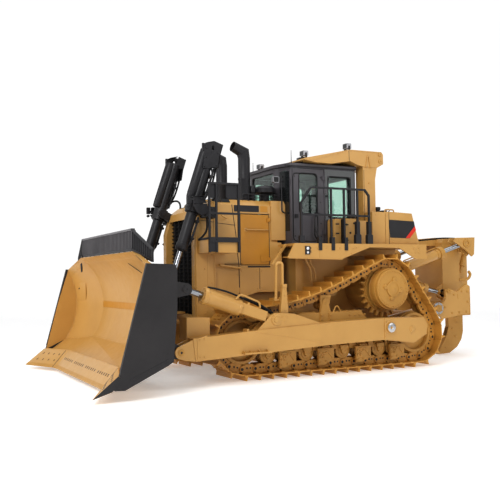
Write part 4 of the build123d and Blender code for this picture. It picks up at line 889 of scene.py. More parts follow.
def round_rect(cx, cz, w, h, r, n=5):
    pts = []
    for sx, sz, a0 in ((1, 1, 0), (-1, 1, 90), (-1, -1, 180), (1, -1, 270)):
        for i in range(n + 1):
            a = radians(a0 + 90 * i / n)
            pts.append((cx + sx * (w / 2 - r) + r * cos(a), cz + sz * (h / 2 - r) + r * sin(a)))
    return pts


m = Mesh()
for i in range(24):
    z = 1.16 + i * 0.072
    m.prism([(0.398, z), (0.432, z + 0.018), (0.432, z + 0.026), (0.398, z + 0.008)], -0.642, 0.642)
for y in (-0.43, -0.215, 0.0, 0.215, 0.43):
    m.box((0.398, 0.448), (y - 0.010, y + 0.010), (1.125, 2.895))
m.out("grille_bars", RUB, "tractor", slot="black_paint")
m = Mesh()
for s in (1, -1):
    m.box((0.538, 0.548), (s * 0.735 - 0.055, s * 0.735 + 0.055), (1.02, 2.60))
    for i in range(9):
        m.bolt((0.548, s * 0.765, 1.10 + 0.18 * i), (1, 0, 0), 0.013, 0.010)
    m.box((0.536, 0.552), (s * 0.665 - 0.012, s * 0.665 + 0.012), (1.12, 2.62))
m.box((0.538, 0.550), (-0.64, 0.64), (1.085, 1.115))
m.prism([(0.470, 2.878), (0.432, 3.022), (0.440, 3.026), (0.478, 2.882)], -0.70, 0.70)
m.out("guard_front_frame", YEL, "tractor", slot="yellow_paint", bevel=0.002)
m = Mesh()
# side of the guard: flange, stiffener, handles
m.prism([(0.536, 0.95), (0.536, 2.645), (0.510, 2.72), (0.495, 2.72), (0.510, 2.60), (0.510, 0.95)], 0.816, 0.832)
m.prism([(0.30, 1.05), (0.30, 2.66), (0.318, 2.66), (0.318, 1.05)], 0.816, 0.824)
m.prism([(0.160, 3.166), (0.230, 3.166), (0.428, 3.018), (0.418, 3.005), (0.224, 3.148), (0.160, 3.148)], 0.816, 0.830)
m.box((0.162, 0.186), (0.816, 0.830), (0.96, 3.15))
for z in (1.15, 1.55, 1.95, 2.35, 2.674):
    m.bolt((0.364, 0.820, z), (0, 1, 0), 0.013, 0.009)
for z in (1.2, 1.7, 2.2, 2.7, 3.05):
    m.bolt((0.230, 0.820, z), (0, 1, 0), 0.011, 0.008)
m.mirror().out("guard_side_trim", YEL, "tractor", slot="yellow_paint", bevel=0.002)
m = Mesh()
m.tube([(0.030, 0.815, 2.925), (0.020, 0.850, 2.905), (-0.075, 0.850, 2.858), (-0.085, 0.80, 2.862)], 0.013, 0.03, 10)
m.tube([(0.085, 0.815, 2.018), (0.080, 0.845, 2.012), (-0.355, 0.845, 1.955), (-0.360, 0.77, 1.955)], 0.019, 0.03, 12)
m.mirror().out("side_handles", YEL, "tractor", slot="yellow_paint")
m = Mesh()
strip(m, [(0.486, 2.822), (0.160, 2.79)], 0.8205, 0.008)
strip(m, [(0.158, 2.79), (-0.277, 2.749)], 0.7605, 0.008)
strip(m, [(-0.210, 3.128), (-0.285, 2.60), (-0.291, 2.547), (-0.320, 2.211), (-0.343, 2.010), (-0.350, 1.60)], 0.7605, 0.012)
strip(m, [(-0.527, 1.982), (-1.000, 1.982)], 0.7605, 0.026)
strip(m, [(-0.773, 1.958), (-0.773, 1.565)], 0.7605, 0.006)
for a in [(-0.382, 2.018, -0.382, 2.962), (-0.988, 2.018, -0.988, 2.962)]:
    strip(m, [(a[0], a[1]), (a[2], a[3])], 0.7600, 0.008, 0.001)
for z in (2.013, 2.967):
    strip(m, [(-0.380, z), (-0.990, z)], 0.7600, 0.008, 0.001)
m.box((-0.380, -0.050), (0.770, 0.834), (2.028, 2.036))
m.mirror().out("hood_seams", DRK, "tractor", slot="black_paint")
# raised panels, blank plates, latch bar
m = Mesh()
m.prism([(-1.023, 2.483), (-1.338, 2.483), (-1.338, 3.165), (-1.300, 3.228), (-1.023, 3.228)], 0.690, 0.772)
m.prism([(-0.360, 2.975), (-1.010, 2.975), (-1.010, 3.126), (-0.360, 3.126)], 0.755, 0.764)
m.prism([(0.150, 1.12), (0.150, 1.95), (-0.335, 1.90), (-0.345, 1.30)], 0.755, 0.766)
m.prism([(-0.360, 1.40), (-0.360, 1.95), (-0.765, 1.95), (-0.765, 1.52)], 0.755, 0.764)
m.prism([(-0.781, 1.53), (-0.781, 1.95), (-1.010, 1.95), (-1.010, 1.60)], 0.755, 0.764)
for x, z in ((-0.40, 2.995), (-0.97, 2.995), (0.10, 1.2), (0.10, 1.87), (-0.30, 1.35), (-0.30, 1.84), (-0.40, 1.46),
             (-0.40, 1.90), (-0.72, 1.58), (-0.72, 1.90), (-0.82, 1.60), (-0.82, 1.90), (-1.06, 2.53), (-1.30, 2.53), (-1.06, 3.18)):
    m.dome((x, 0.766, z), (0, 1, 0), 0.012, 0.007, 10)
m.mirror().out("hood_side_panels", YEL, "tractor", slot="yellow_paint", bevel=0.003)
m = Mesh()
m.prism([(-0.256, 3.004), (-0.771, 3.004), (-0.771, 3.122), (-0.256, 3.122)], 0.763, 0.7685)
m.mirror().out("hood_blank_plates", BLK, "tractor", slot="black_paint", bevel=0.001)
# small plates on the hood side, in the painted-shade yellow
m = Mesh()
for z0 in (3.008, 2.076):
    m.prism([(-0.803, z0), (-0.955, z0), (-0.955, z0 + 0.112), (-0.803, z0 + 0.112)], 0.757, 0.7675)
m.mirror().out("hood_small_plates", YEL_PAINTED_SHADE, "tractor", slot="yellow_paint", bevel=0.001)
for side, s in (("l", 1), ("r", -1)):
    m = Mesh()
    m.tube([(-0.500, s * 0.752, 2.670), (-0.505, s * 0.785, 2.670), (-0.950, s * 0.785, 2.670), (-0.955, s * 0.752, 2.670)], 0.014, 0.02, 10)
    m.box((-0.53, -0.47), (s * 0.754 - 0.003, s * 0.754 + 0.003), (2.64, 2.70))
    m.out(f"engine_door_bar_{side}", YEL, f"engine_door_{side}", slot="yellow_paint")
    # door ribs and domes, in the painted-shade yellow of the door
    m = Mesh()
    for z in (2.40, 2.44, 2.48):
        m.prism([(-0.60, z), (-0.80, z), (-0.80, z + 0.012), (-0.60, z + 0.012)], s * 0.755 - 0.002, s * 0.755 + 0.002)
    for x, z in ((-0.41, 2.05), (-0.96, 2.05), (-0.41, 2.93), (-0.96, 2.93)):
        m.dome((x, s * 0.755, z), (0, s, 0), 0.011, 0.006, 10)
    m.out(f"engine_door_trim_{side}", YEL_PAINTED_SHADE, f"engine_door_{side}", slot="yellow_paint")
# pads and low rails on the hood
m = Mesh()
for s in (1, -1):
    a, b = (0.642, 3.2352), (0.715, 3.171)
    for x0, x1 in ((-0.20, -0.03), (-0.02, 0.15)):
        m.faces([(x0, s * a[0], a[1]), (x1, s * a[0], a[1]), (x1, s * b[0], b[1]), (x0, s * b[0], b[1]),
                 (x0, s * (a[0] + 0.006), a[1] + 0.007), (x1, s * (a[0] + 0.006), a[1] + 0.007),
                 (x1, s * (b[0] + 0.006), b[1] + 0.007), (x0, s * (b[0] + 0.006), b[1] + 0.007)],
                [(3, 2, 1, 0), (4, 5, 6, 7), (0, 1, 5, 4), (1, 2, 6, 5), (2, 3, 7, 6), (3, 0, 4, 7)])
    m.box((-0.20, 0.15), (s * 0.47 - 0.16, s * 0.47 + 0.16), (3.233, 3.243))
    m.box((0.162, 0.228), (s * 0.47 - 0.30, s * 0.47 + 0.30), (3.168, 3.178))
m.out("hood_pads", RUB, "tractor", slot="black_paint", bevel=0.001)
m = Mesh()
m.tube([(-0.496, 0.638, 3.230), (-0.496, 0.638, 3.352), (-1.255, 0.638, 3.352), (-1.255, 0.638, 3.230)], 0.012, 0.04, 10)
m.sweep([(-0.50, 0.638, 3.288), (-1.25, 0.638, 3.288)], 0.008, 8)
for x in (-0.62, -0.74, -0.86, -0.98, -1.10, -1.18):
    m.sweep([(x, 0.638, 3.230), (x, 0.638, 3.350)], 0.010, 8)
    m.lathe((x, 0.638, 3.230), (0, 0, 1), [(0, 0.024), (0.008, 0.024), (0.010, 0.018)], 12)
m.mirror().out("hood_low_rails", BLK, "tractor", slot="black_paint")


def rings(m, rows, seg=28):
    """Loft through circles given as (centre, normal, radius across, radius in the bend's plane)."""
    built = []
    for c, n, ra, rb in rows:
        c, n = Vector(c), Vector(n).normalized()
        v = n.cross(Vector((0, 1, 0))).normalized()
        built.append([m.bm.verts.new(c + Vector((0, 1, 0)) * cos(t) * ra + v * sin(t) * rb)
                      for t in [2 * pi * i / seg for i in range(seg)]])
    for r1, r2 in zip(built[:-1], built[1:]):
        for i in range(seg):
            j = (i + 1) % seg
            m.bm.faces.new([r1[i], r1[j], r2[j], r2[i]])
    m.bm.faces.new(built[0][::-1])
    m.bm.faces.new(built[-1])


m = Mesh()
up_, mid, tip = (0, 0, 1), (0.50, 0, 0.87), (0.957, 0, 0.29)
rings(m, [((-0.600, 0.510, 3.236), up_, 0.122, 0.122), ((-0.600, 0.510, 3.262), up_, 0.122, 0.122),
          ((-0.600, 0.510, 3.264), up_, 0.112, 0.112), ((-0.600, 0.510, 3.62), up_, 0.112, 0.112),
          ((-0.600, 0.510, 3.64), up_, 0.118, 0.118), ((-0.600, 0.510, 3.66), up_, 0.118, 0.118),
          ((-0.600, 0.510, 3.68), up_, 0.112, 0.112), ((-0.602, 0.510, 4.040), up_, 0.112, 0.114),
          ((-0.580, 0.510, 4.165), mid, 0.112, 0.130), ((-0.362, 0.510, 4.262), tip, 0.108, 0.094),
          ((-0.361, 0.510, 4.2623), tip, 0.101, 0.086), ((-0.500, 0.510, 4.215), tip, 0.097, 0.084)])
m.mirror().out("exhaust_stacks", BLK, "tractor", slot="black_paint", replaces=("exhausts",), smooth=30)
m = Mesh()
for s in (1, -1):
    for x, y, k, z in ((-1.030, s * 0.520, 1.0, 3.234), (-0.775, s * 0.50, 0.36, 3.234)):
        r = 0.205 * k if k == 1.0 else 0.072
        m.lathe((x, y, z), (0, 0, 1), [(0, 0.100 * max(k, 0.55)), (0.012, 0.100 * max(k, 0.55)), (0.015, 0.088 * max(k, 0.5)),
                                      (0.135, 0.088 * max(k, 0.5)), (0.155, r * 0.86), (0.165, r), (0.245, r), (0.255, r * 0.93),
                                      (0.285, r * 0.80), (0.300, r * 0.45), (0.302, 0)], 32)
    for i in range(24):
        a = 2 * pi * i / 24
        c, d = cos(a), sin(a)
        m.faces([(-1.030 + c * q - d * w, s * 0.520 + d * q + c * w, 3.234 + z) for z in (0.168, 0.242) for q, w in ((0.200, -0.005), (0.211, -0.005), (0.211, 0.005), (0.200, 0.005))],
                [(3, 2, 1, 0), (4, 5, 6, 7), (0, 1, 5, 4), (1, 2, 6, 5), (2, 3, 7, 6), (3, 0, 4, 7)])
    m.lathe((-1.030, s * 0.520, 3.534), (0, 0, 1), [(-0.006, 0.02), (0.004, 0.02), (0.006, 0.012), (0.006, 0)], 12)
m.out("precleaner_caps", BLK, "tractor", slot="black_paint", replaces=("precleaners",), smooth=32)
# panels and band of the front step basket
m = Mesh()
for cx, cz, w, h in ((0.046, 3.307, 0.20, 0.26), (0.385, 3.30, 0.14, 0.24)):
    m.prism(round_rect(cx, cz, w, h, 0.03), 1.292, 1.303)
    m.sweep([(p[0], 1.298, p[1]) for p in round_rect(cx, cz, w + 0.012, h + 0.012, 0.036)], 0.009, 8, closed=True)
for x0, x1 in ((0.340, 0.500), (-0.112, -0.060)):
    m.box((x0, x1), (1.292, 1.316), (2.235, 2.405))
m.box((-0.105, 0.500), (1.305, 1.331), (2.400, 2.488))
for x in (-0.082, 0.350, 0.482):
    m.bolt((x, 1.332, 2.452), (0, 1, 0), 0.012, 0.009)
    m.lathe((x, 1.309, 2.905), (0, 1, 0), [(0.010, 0.020), (0.020, 0.020), (0.022, 0.012), (0.022, 0)], 12)
m.out("basket_panels", BLK, "tractor", slot="black_paint", bevel=0.001)
m = Mesh()
for i in range(5):
    x = -0.06 + 0.13 * i
    m.box((x - 0.045, x + 0.045), (0.86, 1.26), (2.449, 2.456))
for i in range(4):
    for j in range(8):
        m.lathe((-0.04 + 0.14 * i, 0.90 + 0.047 * j, 2.456), (0, 0, 1), [(0, 0.012), (0.006, 0.009), (0.006, 0)], 6)
m.out("basket_treads", BLK, "tractor", slot="black_paint")

# ------------------------------------------------------------------ cab
def frame_ring(m, cx, cz, w, h, r, y0, y1, band):
    """A flat rounded frame on an upright side face."""
    a, b = round_rect(cx, cz, w, h, r), round_rect(cx, cz, w + 2 * band, h + 2 * band, r + band)
    k = len(a)
    verts = [(p[0], y, p[1]) for y in (y0, y1) for q in (a, b) for p in q]
    faces = []
    for i in range(k):
        j = (i + 1) % k
        faces += [(i, j, k + j, k + i), (2 * k + i, 3 * k + i, 3 * k + j, 2 * k + j),
                  (i, 2 * k + i, 2 * k + j, j), (k + i, k + j, 3 * k + j, 3 * k + i)]
    m.faces(verts, faces)


for side, s in (("l", 1), ("r", -1)):
    y = s * 0.915
    m = Mesh()
    frame_ring(m, -1.768, 3.381, 0.392, 0.762, 0.058, y - s * 0.002, y + s * 0.006, 0.016)
    m.sweep([(p[0], y + s * 0.001, p[1]) for p in round_rect(-1.702, 3.112, 0.545, 1.300, 0.075)], 0.0095, 8, closed=True)
    m.out(f"door_gaskets_{side}", RUB, f"cab_door_{side}", slot="black_paint")
    m = Mesh()
    m.tube([(-2.001, y, 2.992), (-1.985, y + s * 0.058, 2.985), (-1.868, y + s * 0.062, 2.930), (-1.861, y + s * 0.062, 2.573),
            (-1.930, y + s * 0.058, 2.485), (-1.990, y, 2.480)], 0.014, 0.05, 10)
    for x, z in ((-2.001, 2.992), (-1.990, 2.480)):
        m.lathe((x, y - s * 0.002, z), (0, s, 0), [(0, 0.026), (0.008, 0.026), (0.010, 0.018)], 12)
    m.box((-1.530, -1.462), (min(y, y + s * 0.02), max(y, y + s * 0.02)), (2.905, 2.975))
    for x, z in ((-2.045, 3.219), (-2.050, 2.810), (-1.47, 3.70), (-1.47, 2.56), (-2.05, 2.56), (-2.05, 3.70)):
        m.dome((x, y, z), (0, s, 0), 0.013, 0.009, 10)
    m.out(f"door_handle_{side}", DRK, f"cab_door_{side}", slot="black_paint")
    m = Mesh()
    m.prism(round_rect(-1.702, 2.735, 0.44, 0.42, 0.05), min(y, y + s * 0.004), max(y, y + s * 0.004))
    m.prism([(-1.440, 2.50), (-1.422, 2.50), (-1.422, 3.83), (-1.440, 3.83)], min(y, y + s * 0.005), max(y, y + s * 0.005))
    m.out(f"door_pressing_{side}", CABG, f"cab_door_{side}", slot="cab_grey", bevel=0.002)

m = Mesh()
frame_ring(m, -2.480, 3.330, 0.500, 0.780, 0.05, 0.918, 0.928, 0.022)
m.mirror().out("rear_side_window_gaskets", RUB, "tractor", slot="black_paint")
m = Mesh()
a, b = round_rect(0, 3.27, 0.88, 1.06, 0.05), round_rect(0, 3.27, 0.93, 1.11, 0.07)
k = len(a)
vs = [(x, p[0], p[1]) for x in (-1.2985, -1.290) for q in (a, b) for p in q]
fs = []
for i in range(k):
    j = (i + 1) % k
    fs += [(i, j, k + j, k + i), (2 * k + i, 3 * k + i, 3 * k + j, 2 * k + j), (i, 2 * k + i, 2 * k + j, j),
           (k + i, k + j, 3 * k + j, 3 * k + i)]
m.faces(vs, fs)
# wipers
for s in (1, -1):
    m.tube([(-1.285, s * 0.12, 2.70), (-1.262, s * 0.12, 2.72), (-1.262, s * 0.30, 3.30)], 0.007, 0.02, 8)
    m.box((-1.292, -1.284), (s * 0.30 - 0.008, s * 0.30 + 0.008), (3.06, 3.62))
    m.lathe((-1.300, s * 0.12, 2.70), (1, 0, 0), [(0, 0.022), (0.016, 0.022), (0.020, 0.014), (0.020, 0)], 14)
m.out("windscreen_gasket_wipers", RUB, "tractor", slot="black_paint")
# dark corner panes
m = Mesh()
for s in (1, -1):
    n = Vector((0.96, s * 0.28, 0)).normalized()
    p, q = Vector((-1.308, s * 0.628, 0)), Vector((-1.379, s * 0.870, 0))
    z0, z1 = Vector((0, 0, 2.66)), Vector((0, 0, 3.80))
    o = n * 0.006
    m.faces([p + z0, q + z0, q + z1, p + z1, p + z0 + o, q + z0 + o, q + z1 + o, p + z1 + o],
            [(3, 2, 1, 0), (4, 5, 6, 7), (0, 1, 5, 4), (1, 2, 6, 5), (2, 3, 7, 6), (3, 0, 4, 7)])
m.out("corner_panes", GLSD, "tractor", slot="tinted_glass", bevel=0.001)
m = Mesh()
m.tube([(-1.300, 0.760, 3.700), (-1.225, 0.830, 3.690), (-1.225, 0.845, 3.02), (-1.310, 0.800, 3.00)], 0.014, 0.05, 10)
m.tube([(-1.300, 0.620, 3.02), (-1.215, 0.640, 3.02), (-1.215, 0.640, 2.62), (-1.300, 0.620, 2.60)], 0.013, 0.05, 10)
# lamp on the cab's front corner
m.tube([(-1.300, 0.80, 3.60), (-1.20, 0.84, 3.60), (-1.115, 0.85, 3.600)], 0.012, 0.03, 8)
m.prism(round_rect(-1.097, 3.623, 0.118, 0.112, 0.02), 0.792, 0.802)
m.lathe((-1.47, 0.80, 3.945), (0, 0, 1), [(0, 0.022), (0.030, 0.018), (0.042, 0.007), (0.270, 0.004), (0.272, 0)], 10)
m.prism([(x, y + 0.60) for x, y in [(-1.870 + (0.20 if c > 0 else -0.20) + 0.035 * c, 0.135 * d) for c, d in
        [(cos(radians(t)), sin(radians(t))) for t in range(-85, 270, 20)]]], 3.945, 3.985, axis="z")
m.box((-2.875, -1.240), (0.944, 0.956), (3.885, 3.905))
m.mirror().out("cab_front_details", BLK, "tractor", slot="black_paint", bevel=0.001)
m = Mesh()
m.prism(round_rect(-1.097, 3.623, 0.104, 0.098, 0.014), 0.802, 0.866)
m.mirror().out("cab_lamp_lenses", DRK, "tractor", slot="lamp_metal")
m = Mesh()
frame_ring(m, -1.097, 3.623, 0.104, 0.098, 0.014, 0.800, 0.872, 0.011)
m.mirror().out("cab_lamp_rims", GREYM, "tractor", slot="lamp_metal")
# dark glass round the rear side windows
m = Mesh()
for x0, x1, z0, z1 in ((-2.830, -2.754, 2.880, 3.860), (-2.206, -2.150, 2.880, 3.860), (-2.754, -2.206, 3.744, 3.860), (-2.754, -2.206, 2.880, 2.916)):
    m.box((x0, x1), (0.917, 0.9235), (z0, z1))
m.mirror().out("dark_side_panes", GLSD, "tractor", slot="tinted_glass")
m = Mesh()
for x in (-1.45, -2.20, -2.78):
    m.bolt((x, 0.9205, 2.46), (0, 1, 0), 0.012, 0.009)
m.box((-2.175, -2.120), (0.918, 0.934), (3.40, 3.52))
m.prism([(-2.20, 2.50), (-2.20, 2.86), (-2.80, 2.86), (-2.80, 2.50)], 0.9195, 0.924)
m.mirror().out("cab_side_details", CABG, "tractor", slot="cab_grey", bevel=0.001)

# seat, controls and dash
m = Mesh()
m.prism([(-2.500, 2.93), (-2.000, 2.93), (-1.955, 2.98), (-1.965, 3.045), (-2.02, 3.06), (-2.40, 3.01), (-2.50, 3.03)], -0.255, 0.255)
m.prism([(-2.430, 3.02), (-2.455, 3.03), (-2.560, 3.62), (-2.620, 3.64), (-2.665, 3.60), (-2.555, 2.98)], -0.235, 0.235)
m.prism([(-2.568, 3.64), (-2.620, 3.82), (-2.668, 3.82), (-2.655, 3.64)], -0.125, 0.125)
for s in (1, -1):
    m.prism([(-2.420, 3.04), (-2.040, 3.03), (-2.03, 3.055), (-2.43, 3.07)], s * 0.225 - 0.03, s * 0.225 + 0.03)
    m.prism([(-2.50, 3.22), (-2.07, 3.20), (-2.05, 3.225), (-2.07, 3.255), (-2.50, 3.275)], s * 0.300 - 0.035, s * 0.300 + 0.035)
m.out("seat_cushions", SEATF, "tractor", slot="seat_fabric", bevel=0.018, seg=3, replaces=("seat",))
m = Mesh()
m.box((-2.46, -2.04), (-0.18, 0.18), (2.4525, 2.60))
m.prism([(-2.46, 2.60), (-2.06, 2.60), (-2.02, 2.93), (-2.50, 2.93)], -0.20, 0.20)
for s in (1, -1):
    m.box((-2.44, -2.36), (s * 0.300 - 0.02, s * 0.300 + 0.02), (2.90, 3.225))
m.out("seat_base", PLAS, "tractor", slot="cab_plastic", bevel=0.008)
m = Mesh()
for y, x, z, hgt, lean in ((0.43, -1.95, 3.010, 0.20, 0.05), (-0.43, -1.95, 3.010, 0.24, 0.04), (-0.39, -2.05, 3.010, 0.12, 0.0), (0.39, -2.10, 3.010, 0.10, 0.0)):
    m.lathe((x, y, z), (lean, 0, 1), [(0, 0.035), (0.03, 0.028), (0.05, 0.012), (hgt * 0.6, 0.010), (hgt * 0.65, 0.022), (hgt, 0.028), (hgt + 0.02, 0.018), (hgt + 0.022, 0)], 16)
m.prism([(-1.545, 3.062), (-1.365, 3.062), (-1.355, 3.20), (-1.43, 3.26), (-1.50, 3.12)], -0.24, 0.24)
m.tube([(-1.46, 0.30, 3.05), (-1.50, 0.33, 3.22), (-1.52, 0.33, 3.30)], 0.012, 0.03, 8)
m.prism([(-1.54, 3.28), (-1.50, 3.28), (-1.51, 3.50), (-1.55, 3.50)], 0.22, 0.44)
for s in (1, -1):
    for i in range(5):
        m.box((-2.30 + 0.07 * i, -2.26 + 0.07 * i), (s * 0.47 - 0.012, s * 0.47 + 0.012), (3.010, 3.020))
m.out("cab_controls", PLAS, "tractor", slot="cab_plastic", bevel=0.004)
m = Mesh()
m.prism([(-1.5435, 3.30), (-1.5415, 3.30), (-1.5515, 3.48), (-1.5535, 3.48)], 0.245, 0.415)
m.prism([(-1.508, 3.118), (-1.438, 3.252), (-1.4365, 3.251), (-1.5065, 3.117)], -0.20, 0.20)
m.out("dash_glass", GLSD, "tractor", slot="tinted_glass")

# ------------------------------------------------------------------ platform, rails, tank, roof frame and lamps
m = Mesh()
for x in (-1.62, -1.90, -2.19):
    m.box((x - 0.036, x + 0.036), (1.480, 1.562), (2.262, 2.505))
    m.bolt((x, 1.562, 2.300), (0, 1, 0), 0.011, 0.008, washer=False)
    m.bolt((x, 1.562, 2.450), (0, 1, 0), 0.011, 0.008, washer=False)
m.box((-1.310, -1.205), (1.470, 1.530), (2.400, 2.530))
m.tube([(-1.620, 1.500, 2.480), (-1.600, 1.500, 2.560), (-1.545, 1.500, 2.660), (-1.540, 1.500, 2.860), (-1.620, 1.500, 2.922)], 0.017, 0.05, 10)
for x in (-2.487, -2.755):
    m.prism([(x - 0.062, 2.392), (x + 0.062, 2.392), (x + 0.062, 2.555), (x + 0.040, 2.575), (x + 0.040, 2.815), (x - 0.034, 2.815), (x - 0.034, 2.575), (x - 0.062, 2.555)], 1.462, 1.538)
m.prism([(-1.292, 2.185), (-1.392, 2.185), (-1.392, 2.335), (-1.292, 2.335)], 1.540, 1.566)
for z in (2.225, 2.285):
    m.tube([(-1.405, 1.546, z), (-1.405, 1.566, z), (-1.405, 1.566, z + 0.03), (-1.405, 1.546, z + 0.03)], 0.005, 0.01, 6)
m.box((-2.42, -2.30), (1.296, 1.305), (2.755, 2.775))
m.mirror().out("rail_mounts", BLK, "tractor", slot="black_paint", bevel=0.003)
m = Mesh()
# painted shade: a flat panel in the painted-shade yellow stands for the shade in the recess of the deck's side skirt
m.prism(round_rect(-1.215, 2.258, 0.350, 0.240, 0.020), 1.546, 1.5495)
m.mirror().out("deck_side_recess_painted_shade", YEL_PAINTED_SHADE, "tractor", slot="yellow_paint", bevel=0.001)
m = Mesh()
m.lathe((-1.342, 1.563, 2.295), (0, 1, 0), [(0, 0.030), (0.008, 0.028), (0.010, 0)], 16)
m.lathe((-1.342, 1.563, 2.222), (0, 1, 0), [(0, 0.024), (0.008, 0.022), (0.010, 0)], 16)
m.mirror().out("platform_lamps", LENSW, "tractor", slot="lamp_metal")
m = Mesh()
for x, z in ((-2.347, 2.306), (-2.425, 2.318), (-2.316, 2.205), (-3.778, 2.307), (-3.827, 2.319), (-3.907, 2.320), (-3.824, 2.231), (-3.904, 2.231),
             (-1.55, 2.30), (-1.75, 2.30), (-2.05, 2.30)):
    m.bolt((x, 1.550, z), (0, 1, 0), 0.013, 0.009)
# ledge and front strut under the deck's corner, folded lower edge
m.box((-1.399, -0.965), (1.30, 1.548), (2.128, 2.150))
m.prism([(-0.718, 2.018), (-0.748, 1.994), (-1.052, 2.365), (-1.022, 2.389)], 1.285, 1.330)
m.prism([(-0.925, 2.128), (-0.965, 2.112), (-2.105, 2.090), (-2.105, 2.106), (-0.970, 2.128)], 1.50, 1.556)
m.prism([(-1.600, 2.108), (-1.600, 2.385), (-1.610, 2.385), (-1.610, 2.108)], 1.549, 1.553)
m.tube([(-1.629, 1.0, 2.150), (-1.640, 1.0, 2.10), (-1.745, 1.0, 1.92), (-1.752, 1.0, 1.70)], 0.028, 0.06, 10)
m.tube([(-1.72, 1.02, 2.150), (-1.725, 1.02, 2.05), (-1.83, 1.02, 1.90), (-1.835, 1.02, 1.70)], 0.022, 0.06, 10)
m.mirror().out("platform_trim", YEL, "tractor", slot="yellow_paint", bevel=0.002)
m = Mesh()
for i in range(9):
    x = -1.46 - 0.145 * i
    m.box((x - 0.052, x + 0.052), (1.02, 1.47), (2.389, 2.396))
    for j in range(7):
        m.lathe((x, 1.06 + 0.06 * j, 2.396), (0, 0, 1), [(0, 0.011), (0.005, 0.008), (0.005, 0)], 6)
m.mirror().out("platform_treads", BLK, "tractor", slot="black_paint")
# service box beside the cab
m = Mesh()
m.prism([(-2.180, 2.392), (-2.180, 2.850), (-2.205, 2.885), (-2.335, 2.885), (-2.335, 2.392)], 0.935, 1.180)
m.prism([(-2.350, 2.392), (-2.350, 2.890), (-2.650, 2.890), (-2.650, 2.392)], 0.935, 1.255)
m.prism([(-2.662, 2.392), (-2.662, 2.860), (-2.935, 2.860), (-2.935, 2.392)], 0.935, 1.230)
m.mirror().out("service_boxes", YEL, "tractor", slot="yellow_paint", bevel=0.008, seg=3)
m = Mesh()
for x, z in ((-2.406, 2.772), (-2.491, 2.614), (-2.42, 2.47), (-2.58, 2.80)):
    m.lathe((x, 1.252, z), (0, 1, 0), [(0, 0.020), (0.012, 0.020), (0.016, 0.012), (0.016, 0)], 14)
for z in (2.60, 2.78):
    m.box((-2.250, -2.180), (1.228, 1.240), (z - 0.012, z + 0.012))
m.box((-2.346, -2.339), (0.95, 1.232), (2.40, 2.88))
m.mirror().out("service_box_latches", DRK, "tractor", slot="black_paint", bevel=0.001)

# fuel tank
m = Mesh()
m.prism([(-3.357, 2.884), (-3.979, 2.863), (-3.999, 2.774), (-3.762, 2.525), (-3.381, 2.532)], 1.328, 1.3345)
m.mirror().out("tank_side_plates", BLK, "tractor", slot="black_paint", bevel=0.001)
m = Mesh()
m.prism([(-3.999, 2.774), (-4.026, 2.694), (-3.868, 2.525), (-3.762, 2.525)], 1.328, 1.3355)
m.mirror().out("tank_stripes", RED, "tractor", bevel=0.0005)
m = Mesh()
strip(m, [(-3.362, 2.40), (-3.362, 3.036)], 1.3305, 0.009, 0.001)
m.box((-3.367, -3.357), (-1.325, 1.325), (3.036, 3.0465))
m.mirror().out("tank_seams", DRK, "tractor", slot="black_paint")
m = Mesh()
for x, z in ((-3.094, 2.446), (-3.230, 2.448), (-3.45, 2.446), (-3.80, 2.446), (-3.05, 2.98), (-3.30, 2.98)):
    m.bolt((x, 1.330 if x < -3.28 else 1.330, z), (0, 1, 0), 0.012, 0.009)
m.tube([(-3.514, 1.0, 3.035), (-3.514, 1.0, 3.118), (-3.740, 1.0, 3.118), (-3.740, 1.0, 3.030)], 0.013, 0.04, 10)
m.prism([(-3.372, 2.42), (-3.372, 2.50), (-4.085, 2.49), (-4.098, 2.42)], 1.327, 1.3335)
m.mirror().out("tank_trim", YEL, "tractor", slot="yellow_paint", bevel=0.001)
m = Mesh()
for x, y, r, h in ((-3.345, 1.0, 0.052, 0.125), (-3.590, 0.85, 0.075, 0.075), (-3.70, 0.60, 0.040, 0.06), (-3.15, 0.98, 0.050, 0.17)):
    z = 3.040 if x < -3.28 else 3.030
    m.lathe((x, y, z - 0.004), (0, 0, 1), [(0, r * 0.8), (h * 0.5, r * 0.8), (h * 0.55, r), (h * 0.92, r), (h, r * 0.85), (h, 0)], 20)
m.tube([(-3.660, 0.85, 3.10), (-3.690, 0.85, 3.135), (-3.735, 0.85, 3.150), (-3.760, 0.85, 3.120), (-3.72, 0.85, 3.09)], 0.007, 0.02, 8)
m.out("tank_caps", DRK, "tractor", slot="black_paint", smooth=35)

# roof frame
m = Mesh()
strip(m, [(-2.615, 4.262), (-2.620, 4.020)], 1.081, 0.008, 0.001)
strip(m, [(-2.969, 3.88), (-2.969, 2.42)], 1.0705, 0.007, 0.001)
m.mirror().out("roof_frame_seams", DRK, "tractor", slot="black_paint")
m = Mesh()
m.prism([(-3.005, 3.925), (-3.020, 3.925), (-3.052, 4.075), (-3.060, 4.150), (-3.076, 4.150), (-3.084, 4.075), (-3.118, 3.925), (-3.133, 3.925), (-3.098, 4.110), (-3.090, 4.175), (-3.046, 4.175), (-3.038, 4.110)], 1.078, 1.096)
for x, z in ((-3.352, 4.205), (-3.362, 4.070)):
    m.lathe((x, 1.079, z), (0, 1, 0), [(0, 0.036), (0.018, 0.036), (0.022, 0.026), (0.022, 0.014), (0.012, 0.010), (0.012, 0)], 18)
m.lathe((-3.089, 1.069, 3.625), (0, 1, 0), [(0, 0.022), (0.012, 0.022), (0.015, 0.014), (0.015, 0)], 14)
for x, z in ((-3.02, 2.50), (-3.20, 2.50), (-3.02, 2.62), (-3.20, 2.62)):
    m.bolt((x, 1.070, z), (0, 1, 0), 0.020, 0.014)
m.prism([(-1.690, 3.992), (-2.615, 4.255), (-3.400, 4.255), (-3.400, 4.240), (-2.620, 4.240), (-1.720, 3.985)], 1.079, 1.086)
m.mirror().out("roof_frame_trim", YEL, "tractor", slot="yellow_paint", bevel=0.002)
